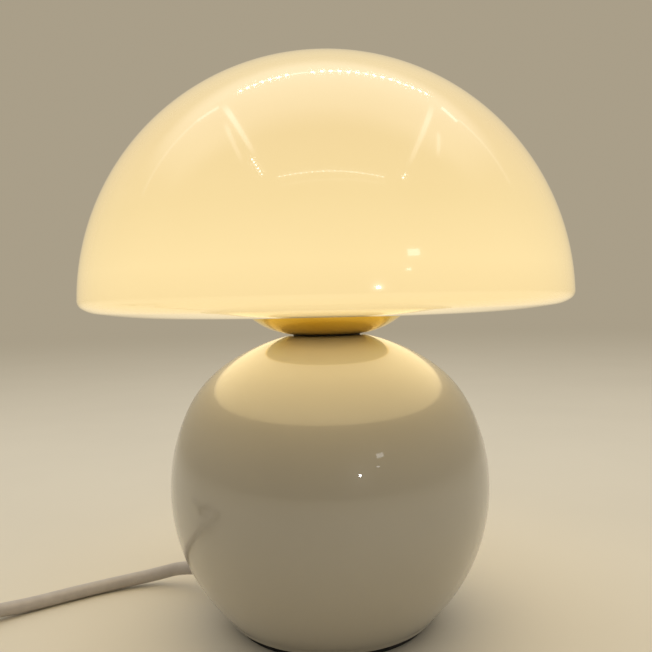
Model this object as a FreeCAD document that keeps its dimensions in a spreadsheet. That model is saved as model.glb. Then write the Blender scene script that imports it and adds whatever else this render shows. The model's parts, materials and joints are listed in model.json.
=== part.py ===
# Table lamp: a glazed ball with a brass cup that carries a glass shade, and a cord with an inline switch.
# Millimetres, +Z up, origin on the table under the lamp's axis, the viewer on the -Y side.
import FreeCAD, Part
import math
import os
import re
import Sketcher

vector = FreeCAD.Vector
document = FreeCAD.newDocument("TableLamp")
sheet = document.addObject("Spreadsheet::Sheet", "Sizes")

sizes = {
    # glass shade: dome, corner, turn and underside are tangent arcs
    "shade_radius": 100,
    "shade_wall": 3,
    "shade_middle_height": 5.3,
    "shade_corner_start": 1.4,
    "shade_corner": 3.9,
    "shade_corner_end": 56,
    "shade_turn": 12.5,
    "shade_turn_end": 80.4,
    "shade_hole_radius": 29,
    "glass_edge": 1,
    # foot
    "foot_pad_radius": 41,
    "foot_pad_thickness": 3,
    "plate_radius": 40,
    "plate_thickness": 1.2,
    "plate_gap": 0.3,
    # ball: belly, shoulder and crown are tangent arcs
    "ball_radius": 66.7,
    "ball_equator_height": 57.5,
    "belly_radius": 74,
    "belly_sweep": 25.2,
    "shoulder_radius": 47,
    "crown_radius": 76,
    "ball_land_radius": 16.5,
    "ball_wall": 5.5,
    "foot_ring_round": 1.5,
    "foot_ring_arc": 1.65,
    "recess_radius": 38,
    "recess_straight_height": 16,
    "recess_top_radius": 49,
    "ball_floor_height": 24,
    "ball_floor_thickness": 5,
    # threaded tube and what it holds
    "tube_radius": 4.95,
    "tube_bore": 3.75,
    "tube_gap": 0.05,
    "tube_hole_radius": 5.5,
    "tube_tail": 1.4,
    "tube_stand": 1.1,
    "washer_radius": 10,
    "seal_thickness": 1.5,
    "washer_thickness": 1.6,
    "lock_washer_radius": 8.5,
    "lock_washer_thickness": 1,
    "nut_flats": 14,
    "nut_thickness": 4,
    # cup, its black gasket and the ring that carries the glass
    "gasket_radius": 14.2,
    "gasket_thickness": 0.5,
    "cup_rim_radius": 32.7,
    "cup_height": 7.9,
    "cup_wall": 1,
    "cup_bowl_radius": 32,
    "cup_bowl_offset": 11.5,
    "cup_washer_thickness": 1.2,
    "cup_glass_gap": 0.4,
    "seat_bore": 27.3,
    "seat_lip_gap": 0.3,
    "seat_lip_height": 2.5,
    "seat_glass_gap": 0.1,
    "seat_cup_gap": 0.05,
    "seat_edge_inset": 0.4,
    # lampholder
    "holder_gap": 0.2,
    "holder_height": 44.1,
    "holder_cap_radius": 19.5,
    "holder_cap_height": 14.1,
    "holder_cap_wall": 2,
    "holder_floor": 3,
    "holder_round": 1,
    "skirt_radius": 20.5,
    "skirt_overlap": 4,
    "skirt_wall": 2.2,
    "skirt_gap": 0.1,
    "skirt_ring": 2,
    "sleeve_bore": 13.35,
    "sleeve_wall": 1.65,
    "sleeve_length": 18,
    "insert_rise": 9.1,
    "insert_thickness": 6.3,
    "insert_gap": 0.1,
    "terminal_spacing": 18,
    "terminal_hole_gap": 0.1,
    "terminal_screw_radius": 1.5,
    "terminal_head_radius": 2.7,
    "terminal_head_height": 1.8,
    "terminal_slot": 0.6,
    "contact_width": 4,
    "contact_thickness": 0.3,
    "contact_button_radius": 3,
    "side_contact_inset": 0.05,
    "side_contact_height": 10,
    # bulb
    "bulb_gap": 0.1,
    "bulb_tip_radius": 3.5,
    "bulb_tip_height": 1.3,
    "bulb_insulator_height": 2.7,
    "bulb_insulator_radius": 11.4,
    "screw_cap_length": 21.5,
    "screw_cap_radius": 13.05,
    "screw_cap_depth": 0.8,
    "screw_cap_wall": 0.5,
    "thread_pitch": 3.6,
    "thread_count": 5,
    "bulb_housing_length": 13.5,
    "bulb_housing_top": 17.2,
    "bulb_housing_bottom": 12.9,
    "bulb_housing_curve": 22,
    "bulb_housing_wall": 1.2,
    "globe_radius": 22.5,
    "globe_wall": 1,
    "globe_foot_radius": 16.3,
    "led_board_radius": 13,
    "led_board_thickness": 1.6,
    # cord entry at the back of the ball
    "cord_radius": 3,
    "cord_height": 10,
    "cord_straight": 78,
    "cord_floor": 3.05,
    "cord_azimuth": 155,
    "cord_hole_gap": 2,
    "sheath_start": 22,
    "sheath_end": 50,
    "relief_bore_gap": 0.3,
    "relief_collar_radius": 5.6,
    "relief_collar_thickness": 2.5,
    "relief_neck_gap": 0.2,
    "relief_flange_radius": 4.75,
    "relief_tip_radius": 3.9,
    "relief_length": 20.5,
    "relief_rib": 0.35,
    "relief_groove_width": 1.2,
    "relief_groove_count": 5,
    # cord clamp on the plate
    "clamp_start": 24,
    "clamp_length": 8,
    "clamp_width": 20,
    "clamp_gap": 0.05,
    "clamp_bar": 2.4,
    "clamp_screw_radius": 1.4,
    "clamp_screw_offset": 7,
    "clamp_head_radius": 2.6,
    "clamp_head_height": 1.6,
    # conductors
    "wire_radius": 1,
    "wire_offset": 1.3,
    "wire_bend": 4.4,
    "wire_top_bend": 3.2,
    "wire_end_gap": 0.1,
    # inline switch
    "switch_length": 56,
    "switch_width": 24,
    "switch_corner": 9,
    "switch_edge": 1.5,
    "switch_cord_height": 6.5,
    "switch_height": 15.5,
    "switch_wall": 1.8,
    "switch_pocket_length": 40,
    "switch_pocket_width": 18,
    "switch_screw_radius": 1.15,
    "switch_screw_head": 2.2,
    "switch_screw_head_height": 1.6,
    "switch_screw_along": 23,
    "switch_screw_across": 6.6,
    "switch_screw_gap": 0.1,
    "switch_thread_gap": 0.02,
    "switch_screw_depth": 3,
    "switch_relief_length": 20,
    "switch_relief_inside": 8,
    "switch_relief_radius": 4.6,
    "switch_relief_tip": 3.8,
    "rocker_length": 15.2,
    "rocker_width": 10.6,
    "rocker_tilt": 12,
    "rocker_dip": 1.2,
    "rocker_crown": 2,
    "rocker_bottom": 3.5,
    "rocker_side": 0.5,
    "rocker_side_gap": 0.4,
    "rocker_end_gap": 0.9,
    "rocker_pin_height": 12.7,
    "rocker_pin_radius": 1,
    "rocker_pin_gap": 0.06,
    "rocker_lug_thickness": 1.6,
    "rocker_lug_length": 5,
    "rocker_contact_length": 10,
    "rocker_contact_width": 3,
    "rocker_contact_thickness": 0.4,
    "switch_contact_across": 3.2,
    "switch_contact_width": 3,
    "switch_contact_thickness": 0.6,
    "switch_post_thickness": 1.6,
    "switch_post_gap": 0.3,
    "switch_terminal_along": 15,
    "switch_wire_radius": 0.9,
    "switch_wire_across": 5.5,
    "switch_wire_height": 4,
    "switch_wire_bend": 2.5,
    "switch_wire_run": 6,
    "switch_live_bend": 1,
    "switch_live_run": 1.5,
    "switch_live_rise": 0.8,
    # coil, its tie and the plug
    "coil_mean_radius": 33.8,
    "coil_half_width": 14.1,
    "coil_floor": 0.65,
    "coil_height": 12.1,
    "coil_round": 2.8,
    "coil_lead": 40,
    "coil_lead_straight": 12,
    "coil_lead_end": 27,
    "coil_entry_height": 4.2,
    "coil_exit_height": 9.4,
    "coil_exit_run": 12,
    "plug_lead_slope": 19,
    "plug_lead_height": 8.7,
    "plug_lead_level": 27,
    "plug_lead": 30,
    "tie_thickness": 0.5,
    "tie_gap": 0.05,
    "tie_width_angle": 20,
    "tie_azimuth": 60,
    "plug_length": 30,
    "plug_width": 25,
    "plug_height": 14,
    "plug_front_width": 21,
    "plug_round": 4,
    "plug_relief_length": 20,
    "plug_relief_radius": 4.4,
    "plug_relief_tip": 3.8,
    "pin_radius": 2,
    "pin_gap": 0.02,
    "pin_length": 19,
    "pin_root": 8,
    "pin_spacing": 19,
    "pin_sleeve_length": 10,
    "pin_sleeve_radius": 1.8,
    "pin_core_radius": 1.5,
}

for row, (alias, value) in enumerate(sizes.items(), start=1):
    sheet.set(f"A{row}", alias)
    sheet.set(f"B{row}", str(value))
    sheet.setAlias(f"B{row}", alias)
document.recompute()


# Expressions and placing

def in_sheet(expression):
    """Write the sheet's name before every alias in an expression."""
    words = re.compile(r"\b[a-z][a-z_]+\b")
    return words.sub(lambda word: f"Sizes.{word[0]}" if word[0] in sizes else word[0], expression)


def size(expression):
    """The number that an expression has now."""
    result = sheet.evalExpression(in_sheet(expression))
    return float(getattr(result, "Value", result))


def bind(feature, **expressions):
    """Bind each named property to an expression."""
    for name, expression in expressions.items():
        feature.setExpression(name, in_sheet(expression))


def place(feature, x="0", y="0", z="0", turn="0", axis=(0, 0, 1)):
    """Bind a feature's position, and its turn about an axis in degrees."""
    feature.Placement = FreeCAD.Placement(vector(0, 0, 0), FreeCAD.Rotation(vector(*axis), 90))
    for name, expression in (("Base.x", x), ("Base.y", y), ("Base.z", z), ("Rotation.Angle", turn)):
        feature.setExpression(f"Placement.{name}", in_sheet(expression))
    return feature


def added(kind, name):
    feature = document.addObject(kind, name)
    feature.Label = name
    return feature


def box(name, length, width, height, **where):
    """A box that is centred in X and Y and stands on its place."""
    block = added("Part::Box", name)
    bind(block, Length=length, Width=width, Height=height)
    where["x"] = f"{where.get('x', '0')} - ({length}) / 2"
    where["y"] = f"{where.get('y', '0')} - ({width}) / 2"
    return place(block, **where)


def cylinder(name, radius, height, **where):
    rod = added("Part::Cylinder", name)
    bind(rod, Radius=radius, Height=height)
    return place(rod, **where)


def cone(name, bottom, top, height, **where):
    taper = added("Part::Cone", name)
    bind(taper, Radius1=bottom, Radius2=top, Height=height)
    return place(taper, **where)


def cut(name, base, tool, **where):
    remainder = added("Part::Cut", name)
    remainder.Base = base
    remainder.Tool = tool
    return place(remainder, **where)


def fuse(name, shapes, **where):
    union = added("Part::MultiFuse", name)
    union.Shapes = shapes
    return place(union, **where)


def group(name, shapes, **where):
    """Alike pieces that share one node, each still a solid of its own."""
    pieces = added("Part::Compound", name)
    pieces.Links = shapes
    return place(pieces, **where)


def washer(name, radius, bore, thickness, z):
    return cut(name, cylinder(f"{name}_disc", radius, thickness),
               cylinder(f"{name}_bore", bore, thickness), z=z)


def hex_nut(name, z):
    blank = added("Part::Prism", f"{name}_blank")
    blank.Polygon = 6
    bind(blank, Circumradius="nut_flats / 2 / cos(30)", Height="nut_thickness")
    return cut(name, blank, cylinder(f"{name}_bore", "tube_radius + tube_gap", "nut_thickness"), z=z)


# Sketches

def origin_plane(body, role):
    return next(plane for plane in body.Origin.OriginFeatures if plane.Role == role)


def arc_between(start, end, radius, turn):
    """The short arc from start to end: turn is 1 anticlockwise and -1 clockwise."""
    chord = end - start
    left = vector(-chord.y, chord.x, 0).normalize()
    rise = math.sqrt(max(radius ** 2 - (chord.Length / 2) ** 2, 0))
    centre = (start + end) * 0.5 + left * (turn * rise)
    first, last = (start, end) if turn > 0 else (end, start)
    angles = [math.atan2(point.y - centre.y, point.x - centre.x) for point in (first, last)]
    return Part.ArcOfCircle(Part.Circle(centre, vector(0, 0, 1), radius), *angles)


def outline(body, name, plane, corners):
    """A closed outline of corners (x, y), or (x, y, radius, turn) where an arc leads to the corner."""
    sketch = body.newObject("Sketcher::SketchObject", name)
    sketch.AttachmentSupport = (origin_plane(body, plane), [""])
    sketch.MapMode = "FlatFace"
    points = [vector(size(corner[0]), size(corner[1]), 0) for corner in corners]
    ends = []
    for index, corner in enumerate(corners):
        start, end = points[index - 1], points[index]
        if len(corner) == 2:
            edge = sketch.addGeometry(Part.LineSegment(start, end))
            ends.append((edge, 1, 2))
            continue
        radius, turn = corner[2:]
        edge = sketch.addGeometry(arc_between(start, end, size(radius), turn))
        ends.append((edge, 1, 2) if turn > 0 else (edge, 2, 1))
        limit = sketch.addConstraint(Sketcher.Constraint("Radius", edge, size(radius)))
        sketch.setExpression(f"Constraints[{limit}]", in_sheet(radius))
    for index, corner in enumerate(corners):
        edge, _, end = ends[index]
        following, start, _ = ends[(index + 1) % len(corners)]
        sketch.addConstraint(Sketcher.Constraint("Coincident", edge, end, following, start))
        for kind, expression, axis in (("DistanceX", corner[0], -2), ("DistanceY", corner[1], -1)):
            if expression == "0":
                sketch.addConstraint(Sketcher.Constraint("PointOnObject", edge, end, axis))
                continue
            limit = sketch.addConstraint(Sketcher.Constraint(kind, -1, 1, edge, end, size(expression)))
            sketch.setExpression(f"Constraints[{limit}]", in_sheet(expression))
    return sketch


def revolved(name, corners, axis="V_Axis", angle="360"):
    """A body turned from an outline in the XZ plane, about its Z axis or its X axis."""
    body = added("PartDesign::Body", name)
    turning = body.newObject("PartDesign::Revolution", f"{name}_turn")
    turning.Profile = outline(body, f"{name}_outline", "XZ_Plane", corners)
    turning.ReferenceAxis = (turning.Profile[0], [axis])
    bind(turning, Angle=angle)
    body.Tip = turning
    return body


def padded(name, corners, length, plane="XY_Plane", midplane=False):
    """A body raised from an outline."""
    body = added("PartDesign::Body", name)
    pad = body.newObject("PartDesign::Pad", f"{name}_pad")
    pad.Profile = outline(body, f"{name}_outline", plane, corners)
    pad.Midplane = midplane
    bind(pad, Length=length)
    body.Tip = pad
    return body


def rounded(body, radius, chosen):
    """Round the edges whose bounding boxes are chosen."""
    document.recompute()
    solid = body.Tip
    fillet = body.newObject("PartDesign::Fillet", f"{body.Name}_round")
    fillet.Base = (solid, [f"Edge{number}" for number, edge in enumerate(solid.Shape.Edges, start=1)
                           if chosen(edge.BoundBox)])
    bind(fillet, Radius=radius)
    body.Tip = fillet


def rounded_rectangle(length, width, corner):
    """A centred rectangle whose corners are arcs."""
    half_long, half_wide = f"({length}) / 2", f"({width}) / 2"
    near_long, near_wide = f"{half_long} - {corner}", f"{half_wide} - {corner}"
    return [
        (f"-({near_long})", f"-({half_wide})"),
        (near_long, f"-({half_wide})"),
        (half_long, f"-({near_wide})", corner, 1),
        (half_long, near_wide),
        (near_long, half_wide, corner, 1),
        (f"-({near_long})", half_wide),
        (f"-({half_long})", near_wide, corner, 1),
        (f"-({half_long})", f"-({near_wide})"),
        (f"-({near_long})", f"-({half_wide})", corner, 1),
    ][1:]


# Heights that follow one another up the lamp

ball_bottom = "foot_pad_thickness"
plate_top = "(foot_pad_thickness + plate_thickness)"
ball_floor_top = "(ball_floor_height + ball_floor_thickness)"
belly_x = "(ball_radius - belly_radius)"
shoulder_x = f"({belly_x} + (belly_radius - shoulder_radius) * cos(belly_sweep))"
shoulder_z = "(ball_equator_height + (belly_radius - shoulder_radius) * sin(belly_sweep))"
crown_angle = f"acos({shoulder_x} / (crown_radius - shoulder_radius))"
crown_z = f"({shoulder_z} - (crown_radius - shoulder_radius) * sin({crown_angle}))"
land_height = f"({crown_z} + sqrt(crown_radius ^ 2 - ball_land_radius ^ 2))"
cup_bottom = f"({land_height} + gasket_thickness)"
cup_floor = f"({cup_bottom} + cup_wall)"
cup_rim = f"({cup_bottom} + cup_height)"
bowl_z = f"({cup_rim} + sqrt(cup_bowl_radius ^ 2 - (cup_rim_radius - cup_bowl_offset) ^ 2))"
glass_bottom = f"({cup_rim} + cup_glass_gap)"
holder_base = f"({cup_floor} + cup_washer_thickness + nut_thickness + holder_gap)"
holder_top = f"({holder_base} + holder_height)"
holder_cap_top = f"({holder_base} + holder_cap_height)"
tube_top = f"({holder_base} + holder_floor + tube_stand)"
seal_bottom = "(ball_floor_height - seal_thickness)"
tube_washer_bottom = f"({seal_bottom} - washer_thickness)"
lock_washer_bottom = f"({tube_washer_bottom} - lock_washer_thickness)"
tube_nut_bottom = f"({lock_washer_bottom} - nut_thickness)"
tube_bottom = f"({tube_nut_bottom} - tube_tail)"
insert_bottom = f"({holder_base} + insert_rise)"
insert_top = f"({insert_bottom} + insert_thickness)"
bulb_bottom = f"({insert_top} + 2 * contact_thickness + bulb_gap)"
screw_cap_bottom = f"({bulb_bottom} + bulb_tip_height + bulb_insulator_height)"
screw_cap_top = f"({screw_cap_bottom} + screw_cap_length)"
housing_top = f"({screw_cap_top} + bulb_housing_length)"


# Foot

foot_pad = cylinder("foot_pad", "foot_pad_radius", "foot_pad_thickness")
bottom_plate = cylinder("bottom_plate", "plate_radius", "plate_thickness", z=ball_bottom)


# Ball: one revolved shell with a recess below its floor

def belly_at(height, wall="0"):
    """The belly's distance from the axis at a height."""
    return f"({belly_x} + sqrt((belly_radius - {wall}) ^ 2 - ({height} - ball_equator_height) ^ 2))"


def ball_arcs(wall):
    """Where the belly meets the shoulder and the shoulder meets the crown, on a skin set in by a wall."""
    return [
        (f"{belly_x} + (belly_radius - {wall}) * cos(belly_sweep)",
         f"ball_equator_height + (belly_radius - {wall}) * sin(belly_sweep)"),
        (f"(crown_radius - {wall}) * cos({crown_angle})",
         f"{crown_z} + (crown_radius - {wall}) * sin({crown_angle})"),
    ]


outer_shoulder, outer_crown = ball_arcs("0")
inner_shoulder, inner_crown = ball_arcs("ball_wall")
inner_roof = f"({crown_z} + sqrt((crown_radius - ball_wall) ^ 2 - tube_hole_radius ^ 2))"
ring_round_top = f"({ball_bottom} + foot_ring_round)"
base_ball = revolved("base_ball", [
    ("plate_radius + plate_gap", ball_bottom),
    (f"{belly_at(ring_round_top)} - foot_ring_round", ball_bottom),
    (belly_at(ring_round_top), ring_round_top, "foot_ring_arc", 1),
    ("ball_radius", "ball_equator_height", "belly_radius", 1),
    (*outer_shoulder, "belly_radius", 1),
    (*outer_crown, "shoulder_radius", 1),
    ("ball_land_radius", land_height, "crown_radius", 1),
    ("tube_hole_radius", land_height),
    ("tube_hole_radius", inner_roof),
    (*inner_crown, "crown_radius - ball_wall", -1),
    (*inner_shoulder, "shoulder_radius - ball_wall", -1),
    ("ball_radius - ball_wall", "ball_equator_height", "belly_radius - ball_wall", -1),
    (belly_at(ball_floor_top, "ball_wall"), ball_floor_top, "belly_radius - ball_wall", -1),
    ("tube_hole_radius", ball_floor_top),
    ("tube_hole_radius", "ball_floor_height"),
    ("recess_top_radius", "ball_floor_height"),
    ("recess_radius", "recess_straight_height"),
    ("recess_radius", plate_top),
    ("plate_radius + plate_gap", plate_top),
])
cord_hole = cylinder("cord_hole", "cord_radius + cord_hole_gap", "ball_radius", z="cord_height", turn="90",
                     axis=(0, 1, 0))
cord_hole_turned = group("cord_hole_turned", [cord_hole], turn="cord_azimuth")
base_ball.Label = "ball_blank"
base_ball = cut("base_ball", base_ball, cord_hole_turned)


# Threaded tube and its stack

center_tube = washer("center_tube", "tube_radius", "tube_bore", f"{tube_top} - {tube_bottom}", tube_bottom)
tube_seal_washer = washer("tube_seal_washer", "washer_radius", "tube_radius + tube_gap", "seal_thickness",
                          seal_bottom)
tube_washer = washer("tube_washer", "washer_radius", "tube_radius + tube_gap", "washer_thickness",
                     tube_washer_bottom)
tube_lock_washer = washer("tube_lock_washer", "lock_washer_radius", "tube_radius + tube_gap",
                          "lock_washer_thickness", lock_washer_bottom)
tube_nut = hex_nut("tube_nut", tube_nut_bottom)
top_gasket = washer("top_gasket", "gasket_radius", "tube_radius + tube_gap", "gasket_thickness", land_height)
cup_washer = washer("cup_washer", "washer_radius", "tube_radius + tube_gap", "cup_washer_thickness", cup_floor)
cup_nut = hex_nut("cup_nut", f"{cup_floor} + cup_washer_thickness")


# Cup and the ring that seats the glass

def bowl_at(height, wall="0"):
    """The cup's distance from the axis at a height, on a skin set in by a wall."""
    return f"cup_bowl_offset + sqrt((cup_bowl_radius - {wall}) ^ 2 - ({bowl_z} - {height}) ^ 2)"


def bowl_under(radius, wall):
    """The cup's height at a distance from the axis, on a skin set in by a wall."""
    return f"{bowl_z} - sqrt((cup_bowl_radius - {wall}) ^ 2 - ({radius} - cup_bowl_offset) ^ 2)"


shade_cup = revolved("shade_cup", [
    ("tube_radius + tube_gap", cup_bottom),
    (bowl_at(cup_bottom), cup_bottom),
    ("cup_rim_radius", cup_rim, "cup_bowl_radius", 1),
    (bowl_at(cup_rim, "cup_wall"), cup_rim),
    (bowl_at(cup_floor, "cup_wall"), cup_floor, "cup_bowl_radius - cup_wall", -1),
    ("tube_radius + tube_gap", cup_floor),
])

seat_wall = "(cup_wall + seat_cup_gap)"
seat_edge = f"({bowl_at(cup_rim, seat_wall)} - seat_edge_inset)"
seat_top = f"({glass_bottom} - seat_glass_gap)"
seat_lip = "(shade_hole_radius - seat_lip_gap)"
shade_seat_ring = revolved("shade_seat_ring", [
    ("seat_bore", bowl_under("seat_bore", seat_wall)),
    (seat_edge, bowl_under(seat_edge, seat_wall), f"cup_bowl_radius - {seat_wall}", 1),
    (seat_edge, seat_top),
    (seat_lip, seat_top),
    (seat_lip, f"{seat_top} + seat_lip_height"),
    ("seat_bore", f"{seat_top} + seat_lip_height"),
])


# Glass shade: the dome turns through a corner and two ever gentler arcs into a flat ring round the hole

shade_middle = f"({glass_bottom} + shade_middle_height)"
corner_x = "((shade_radius - shade_corner) * cos(shade_corner_start))"
corner_z = f"({shade_middle} + (shade_radius - shade_corner) * sin(shade_corner_start))"
turn_x = f"({corner_x} - (shade_turn - shade_corner) * cos(shade_corner_end))"
turn_z = f"({corner_z} + (shade_turn - shade_corner) * sin(shade_corner_end))"
under_radius = f"(({turn_z} - {glass_bottom} - shade_turn * sin(shade_turn_end)) / (1 - sin(shade_turn_end)))"
under_x = f"({turn_x} - ({under_radius} - shade_turn) * cos(shade_turn_end))"


def shade_arcs(wall):
    """Where dome and corner, corner and turn, turn and underside meet, on a skin set in by a wall."""
    return [
        (f"(shade_radius - {wall}) * cos(shade_corner_start)",
         f"{shade_middle} + (shade_radius - {wall}) * sin(shade_corner_start)"),
        (f"{corner_x} + (shade_corner - {wall}) * cos(shade_corner_end)",
         f"{corner_z} - (shade_corner - {wall}) * sin(shade_corner_end)"),
        (f"{turn_x} + (shade_turn - {wall}) * cos(shade_turn_end)",
         f"{turn_z} - (shade_turn - {wall}) * sin(shade_turn_end)"),
    ]


outer_dome, outer_corner, outer_turn = shade_arcs("0")
inner_dome, inner_corner, inner_turn = shade_arcs("shade_wall")
glass_shade = revolved("glass_shade", [
    (under_x, glass_bottom),
    (*outer_turn, under_radius, 1),
    (*outer_corner, "shade_turn", 1),
    (*outer_dome, "shade_corner", 1),
    ("0", f"{shade_middle} + shade_radius", "shade_radius", 1),
    ("0", f"{shade_middle} + shade_radius - shade_wall"),
    (*inner_dome, "shade_radius - shade_wall", -1),
    (*inner_corner, "shade_corner - shade_wall", -1),
    (*inner_turn, "shade_turn - shade_wall", -1),
    (under_x, f"{glass_bottom} + shade_wall", f"{under_radius} - shade_wall", -1),
    ("shade_hole_radius + glass_edge", f"{glass_bottom} + shade_wall"),
    ("shade_hole_radius", f"{glass_bottom} + shade_wall - glass_edge", "glass_edge", 1),
    ("shade_hole_radius", f"{glass_bottom} + glass_edge"),
    ("shade_hole_radius + glass_edge", glass_bottom, "glass_edge", 1),
])


# Lampholder

cap_floor_top = f"{holder_base} + holder_floor"
holder_cap = revolved("holder_cap", [
    ("tube_radius + tube_gap", holder_base),
    ("holder_cap_radius - holder_round", holder_base),
    ("holder_cap_radius", f"{holder_base} + holder_round", "holder_round", 1),
    ("holder_cap_radius", holder_cap_top),
    ("holder_cap_radius - holder_cap_wall", holder_cap_top),
    ("holder_cap_radius - holder_cap_wall", cap_floor_top),
    ("tube_radius + tube_gap", cap_floor_top),
])
skirt_bottom = f"{holder_cap_top} - skirt_overlap"
skirt_step = f"{holder_cap_top} + holder_gap"
holder_skirt = revolved("holder_skirt", [
    ("holder_cap_radius + skirt_gap", skirt_bottom),
    ("skirt_radius", skirt_bottom),
    ("skirt_radius", f"{holder_top} - holder_round"),
    ("skirt_radius - holder_round", holder_top, "holder_round", 1),
    ("sleeve_bore", holder_top),
    ("sleeve_bore", f"{holder_top} - sleeve_length"),
    ("sleeve_bore + sleeve_wall", f"{holder_top} - sleeve_length"),
    ("sleeve_bore + sleeve_wall", f"{holder_top} - skirt_ring"),
    ("skirt_radius - skirt_wall", f"{holder_top} - skirt_ring"),
    ("skirt_radius - skirt_wall", skirt_step),
    ("holder_cap_radius + skirt_gap", skirt_step),
])

# The terminals stand in a line across the cord, so these pieces turn with it.
terminal_turn = "cord_azimuth + 90"
sides = (("live", "1"), ("neutral", "-1"))
terminal_holes = [cylinder(f"{side}_terminal_hole", "terminal_screw_radius + terminal_hole_gap", "insert_thickness",
                           x=f"{sign} * terminal_spacing / 2") for side, sign in sides]
holder_insert = cut("holder_insert",
                    cylinder("insert_disc", "holder_cap_radius - holder_cap_wall - insert_gap", "insert_thickness"),
                    group("terminal_holes", terminal_holes), z=insert_bottom, turn=terminal_turn)

terminal_grip = "(2 * wire_radius)"
terminal_screws = []
for side, sign in sides:
    along = f"{sign} * terminal_spacing / 2"
    head = cylinder(f"{side}_terminal_head", "terminal_head_radius", "terminal_head_height", x=along,
                    z=f"-({terminal_grip}) - terminal_head_height")
    slot = box(f"{side}_terminal_slot", "2 * terminal_head_radius", "terminal_slot", "terminal_slot", x=along,
               z=f"-({terminal_grip}) - terminal_head_height")
    shank = cylinder(f"{side}_terminal_shank", "terminal_screw_radius",
                     f"{terminal_grip} + insert_thickness - terminal_head_height", x=along, z=f"-({terminal_grip})")
    terminal_screws.append(fuse(f"{side}_terminal_screw", [cut(f"{side}_slotted_head", head, slot), shank]))
terminal_screws = group("terminal_screws", terminal_screws, z=insert_bottom, turn=terminal_turn)

center_contact = fuse("center_contact", [
    box("center_contact_strip", "terminal_spacing / 2 + contact_width", "contact_width", "contact_thickness",
        x="-terminal_spacing / 4"),
    cylinder("center_contact_button", "contact_button_radius", "2 * contact_thickness"),
], z=insert_top, turn=terminal_turn)

side_contact_face = "(sleeve_bore - side_contact_inset)"
side_contact = fuse("side_contact", [
    box("side_contact_foot", f"{side_contact_face} + contact_thickness - terminal_spacing / 2 + contact_width / 2",
        "contact_width", "contact_thickness",
        x=f"({side_contact_face} + contact_thickness + terminal_spacing / 2 - contact_width / 2) / 2"),
    box("side_contact_tongue", "contact_thickness", "contact_width", "side_contact_height",
        x=f"{side_contact_face} + contact_thickness / 2"),
], z=insert_top, turn=terminal_turn)


# Bulb

bulb_tip_contact = cylinder("bulb_tip_contact", "bulb_tip_radius", "bulb_tip_height", z=bulb_bottom)
bulb_insulator = cone("bulb_insulator", "bulb_tip_radius", "bulb_insulator_radius", "bulb_insulator_height",
                      z=f"{bulb_bottom} + bulb_tip_height")

thread_root = "(screw_cap_radius - screw_cap_depth)"
screw_cap_inner = f"({thread_root} - screw_cap_wall)"
thread_margin = "((screw_cap_length - thread_count * thread_pitch) / 2)"
thread_rings = []
for ring in range(int(size("thread_count"))):
    ring_bottom = f"{screw_cap_bottom} + {thread_margin} + {ring} * thread_pitch"
    thread_rings += [
        (thread_root, ring_bottom),
        ("screw_cap_radius", f"{ring_bottom} + thread_pitch / 4", "thread_pitch / 2", 1),
        ("screw_cap_radius", f"{ring_bottom} + thread_pitch / 2"),
        (thread_root, f"{ring_bottom} + thread_pitch * 3 / 4", "thread_pitch / 2", 1),
    ]
bulb_screw_cap = revolved("bulb_screw_cap", [
    (screw_cap_inner, screw_cap_bottom),
    (thread_root, screw_cap_bottom),
    *thread_rings,
    (thread_root, screw_cap_top),
    (screw_cap_inner, screw_cap_top),
])

housing_roof = f"({housing_top} - bulb_housing_wall)"
bulb_housing = revolved("bulb_housing", [
    (screw_cap_inner, screw_cap_top),
    ("bulb_housing_bottom", screw_cap_top),
    ("bulb_housing_top", housing_top, "bulb_housing_curve", -1),
    ("0", housing_top),
    ("0", housing_roof),
    ("bulb_housing_top - 2 * bulb_housing_wall", housing_roof),
    (screw_cap_inner, f"{screw_cap_top} + bulb_housing_wall"),
])

globe_rise = "sqrt(globe_radius ^ 2 - globe_foot_radius ^ 2)"
globe_z = f"({housing_top} + {globe_rise})"
bulb_globe = revolved("bulb_globe", [
    ("globe_foot_radius", housing_top),
    ("globe_radius", globe_z, "globe_radius", 1),
    ("0", f"{globe_z} + globe_radius", "globe_radius", 1),
    ("0", f"{globe_z} + globe_radius - globe_wall"),
    ("globe_radius - globe_wall", globe_z, "globe_radius - globe_wall", -1),
    (f"sqrt((globe_radius - globe_wall) ^ 2 - {globe_rise} ^ 2)", housing_top, "globe_radius - globe_wall", -1),
])
bulb_led_board = cylinder("bulb_led_board", "led_board_radius", "led_board_thickness", z=housing_top)


# Cord entry: the relief is turned about the cord's own line, and then swung round to its place in the ball

relief_bore = "(cord_radius + relief_bore_gap)"
relief_neck = "(cord_radius + cord_hole_gap - relief_neck_gap)"
wall_outside = belly_at("cord_height")
collar_face = "sqrt(recess_radius ^ 2 - relief_collar_radius ^ 2) - relief_neck_gap"
collar_back = f"({collar_face} - relief_collar_thickness)"
tail_start = f"({wall_outside} + relief_neck_gap)"


def tail_radius(along):
    return f"relief_flange_radius + (relief_tip_radius - relief_flange_radius) * ({along}) / relief_length"


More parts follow.
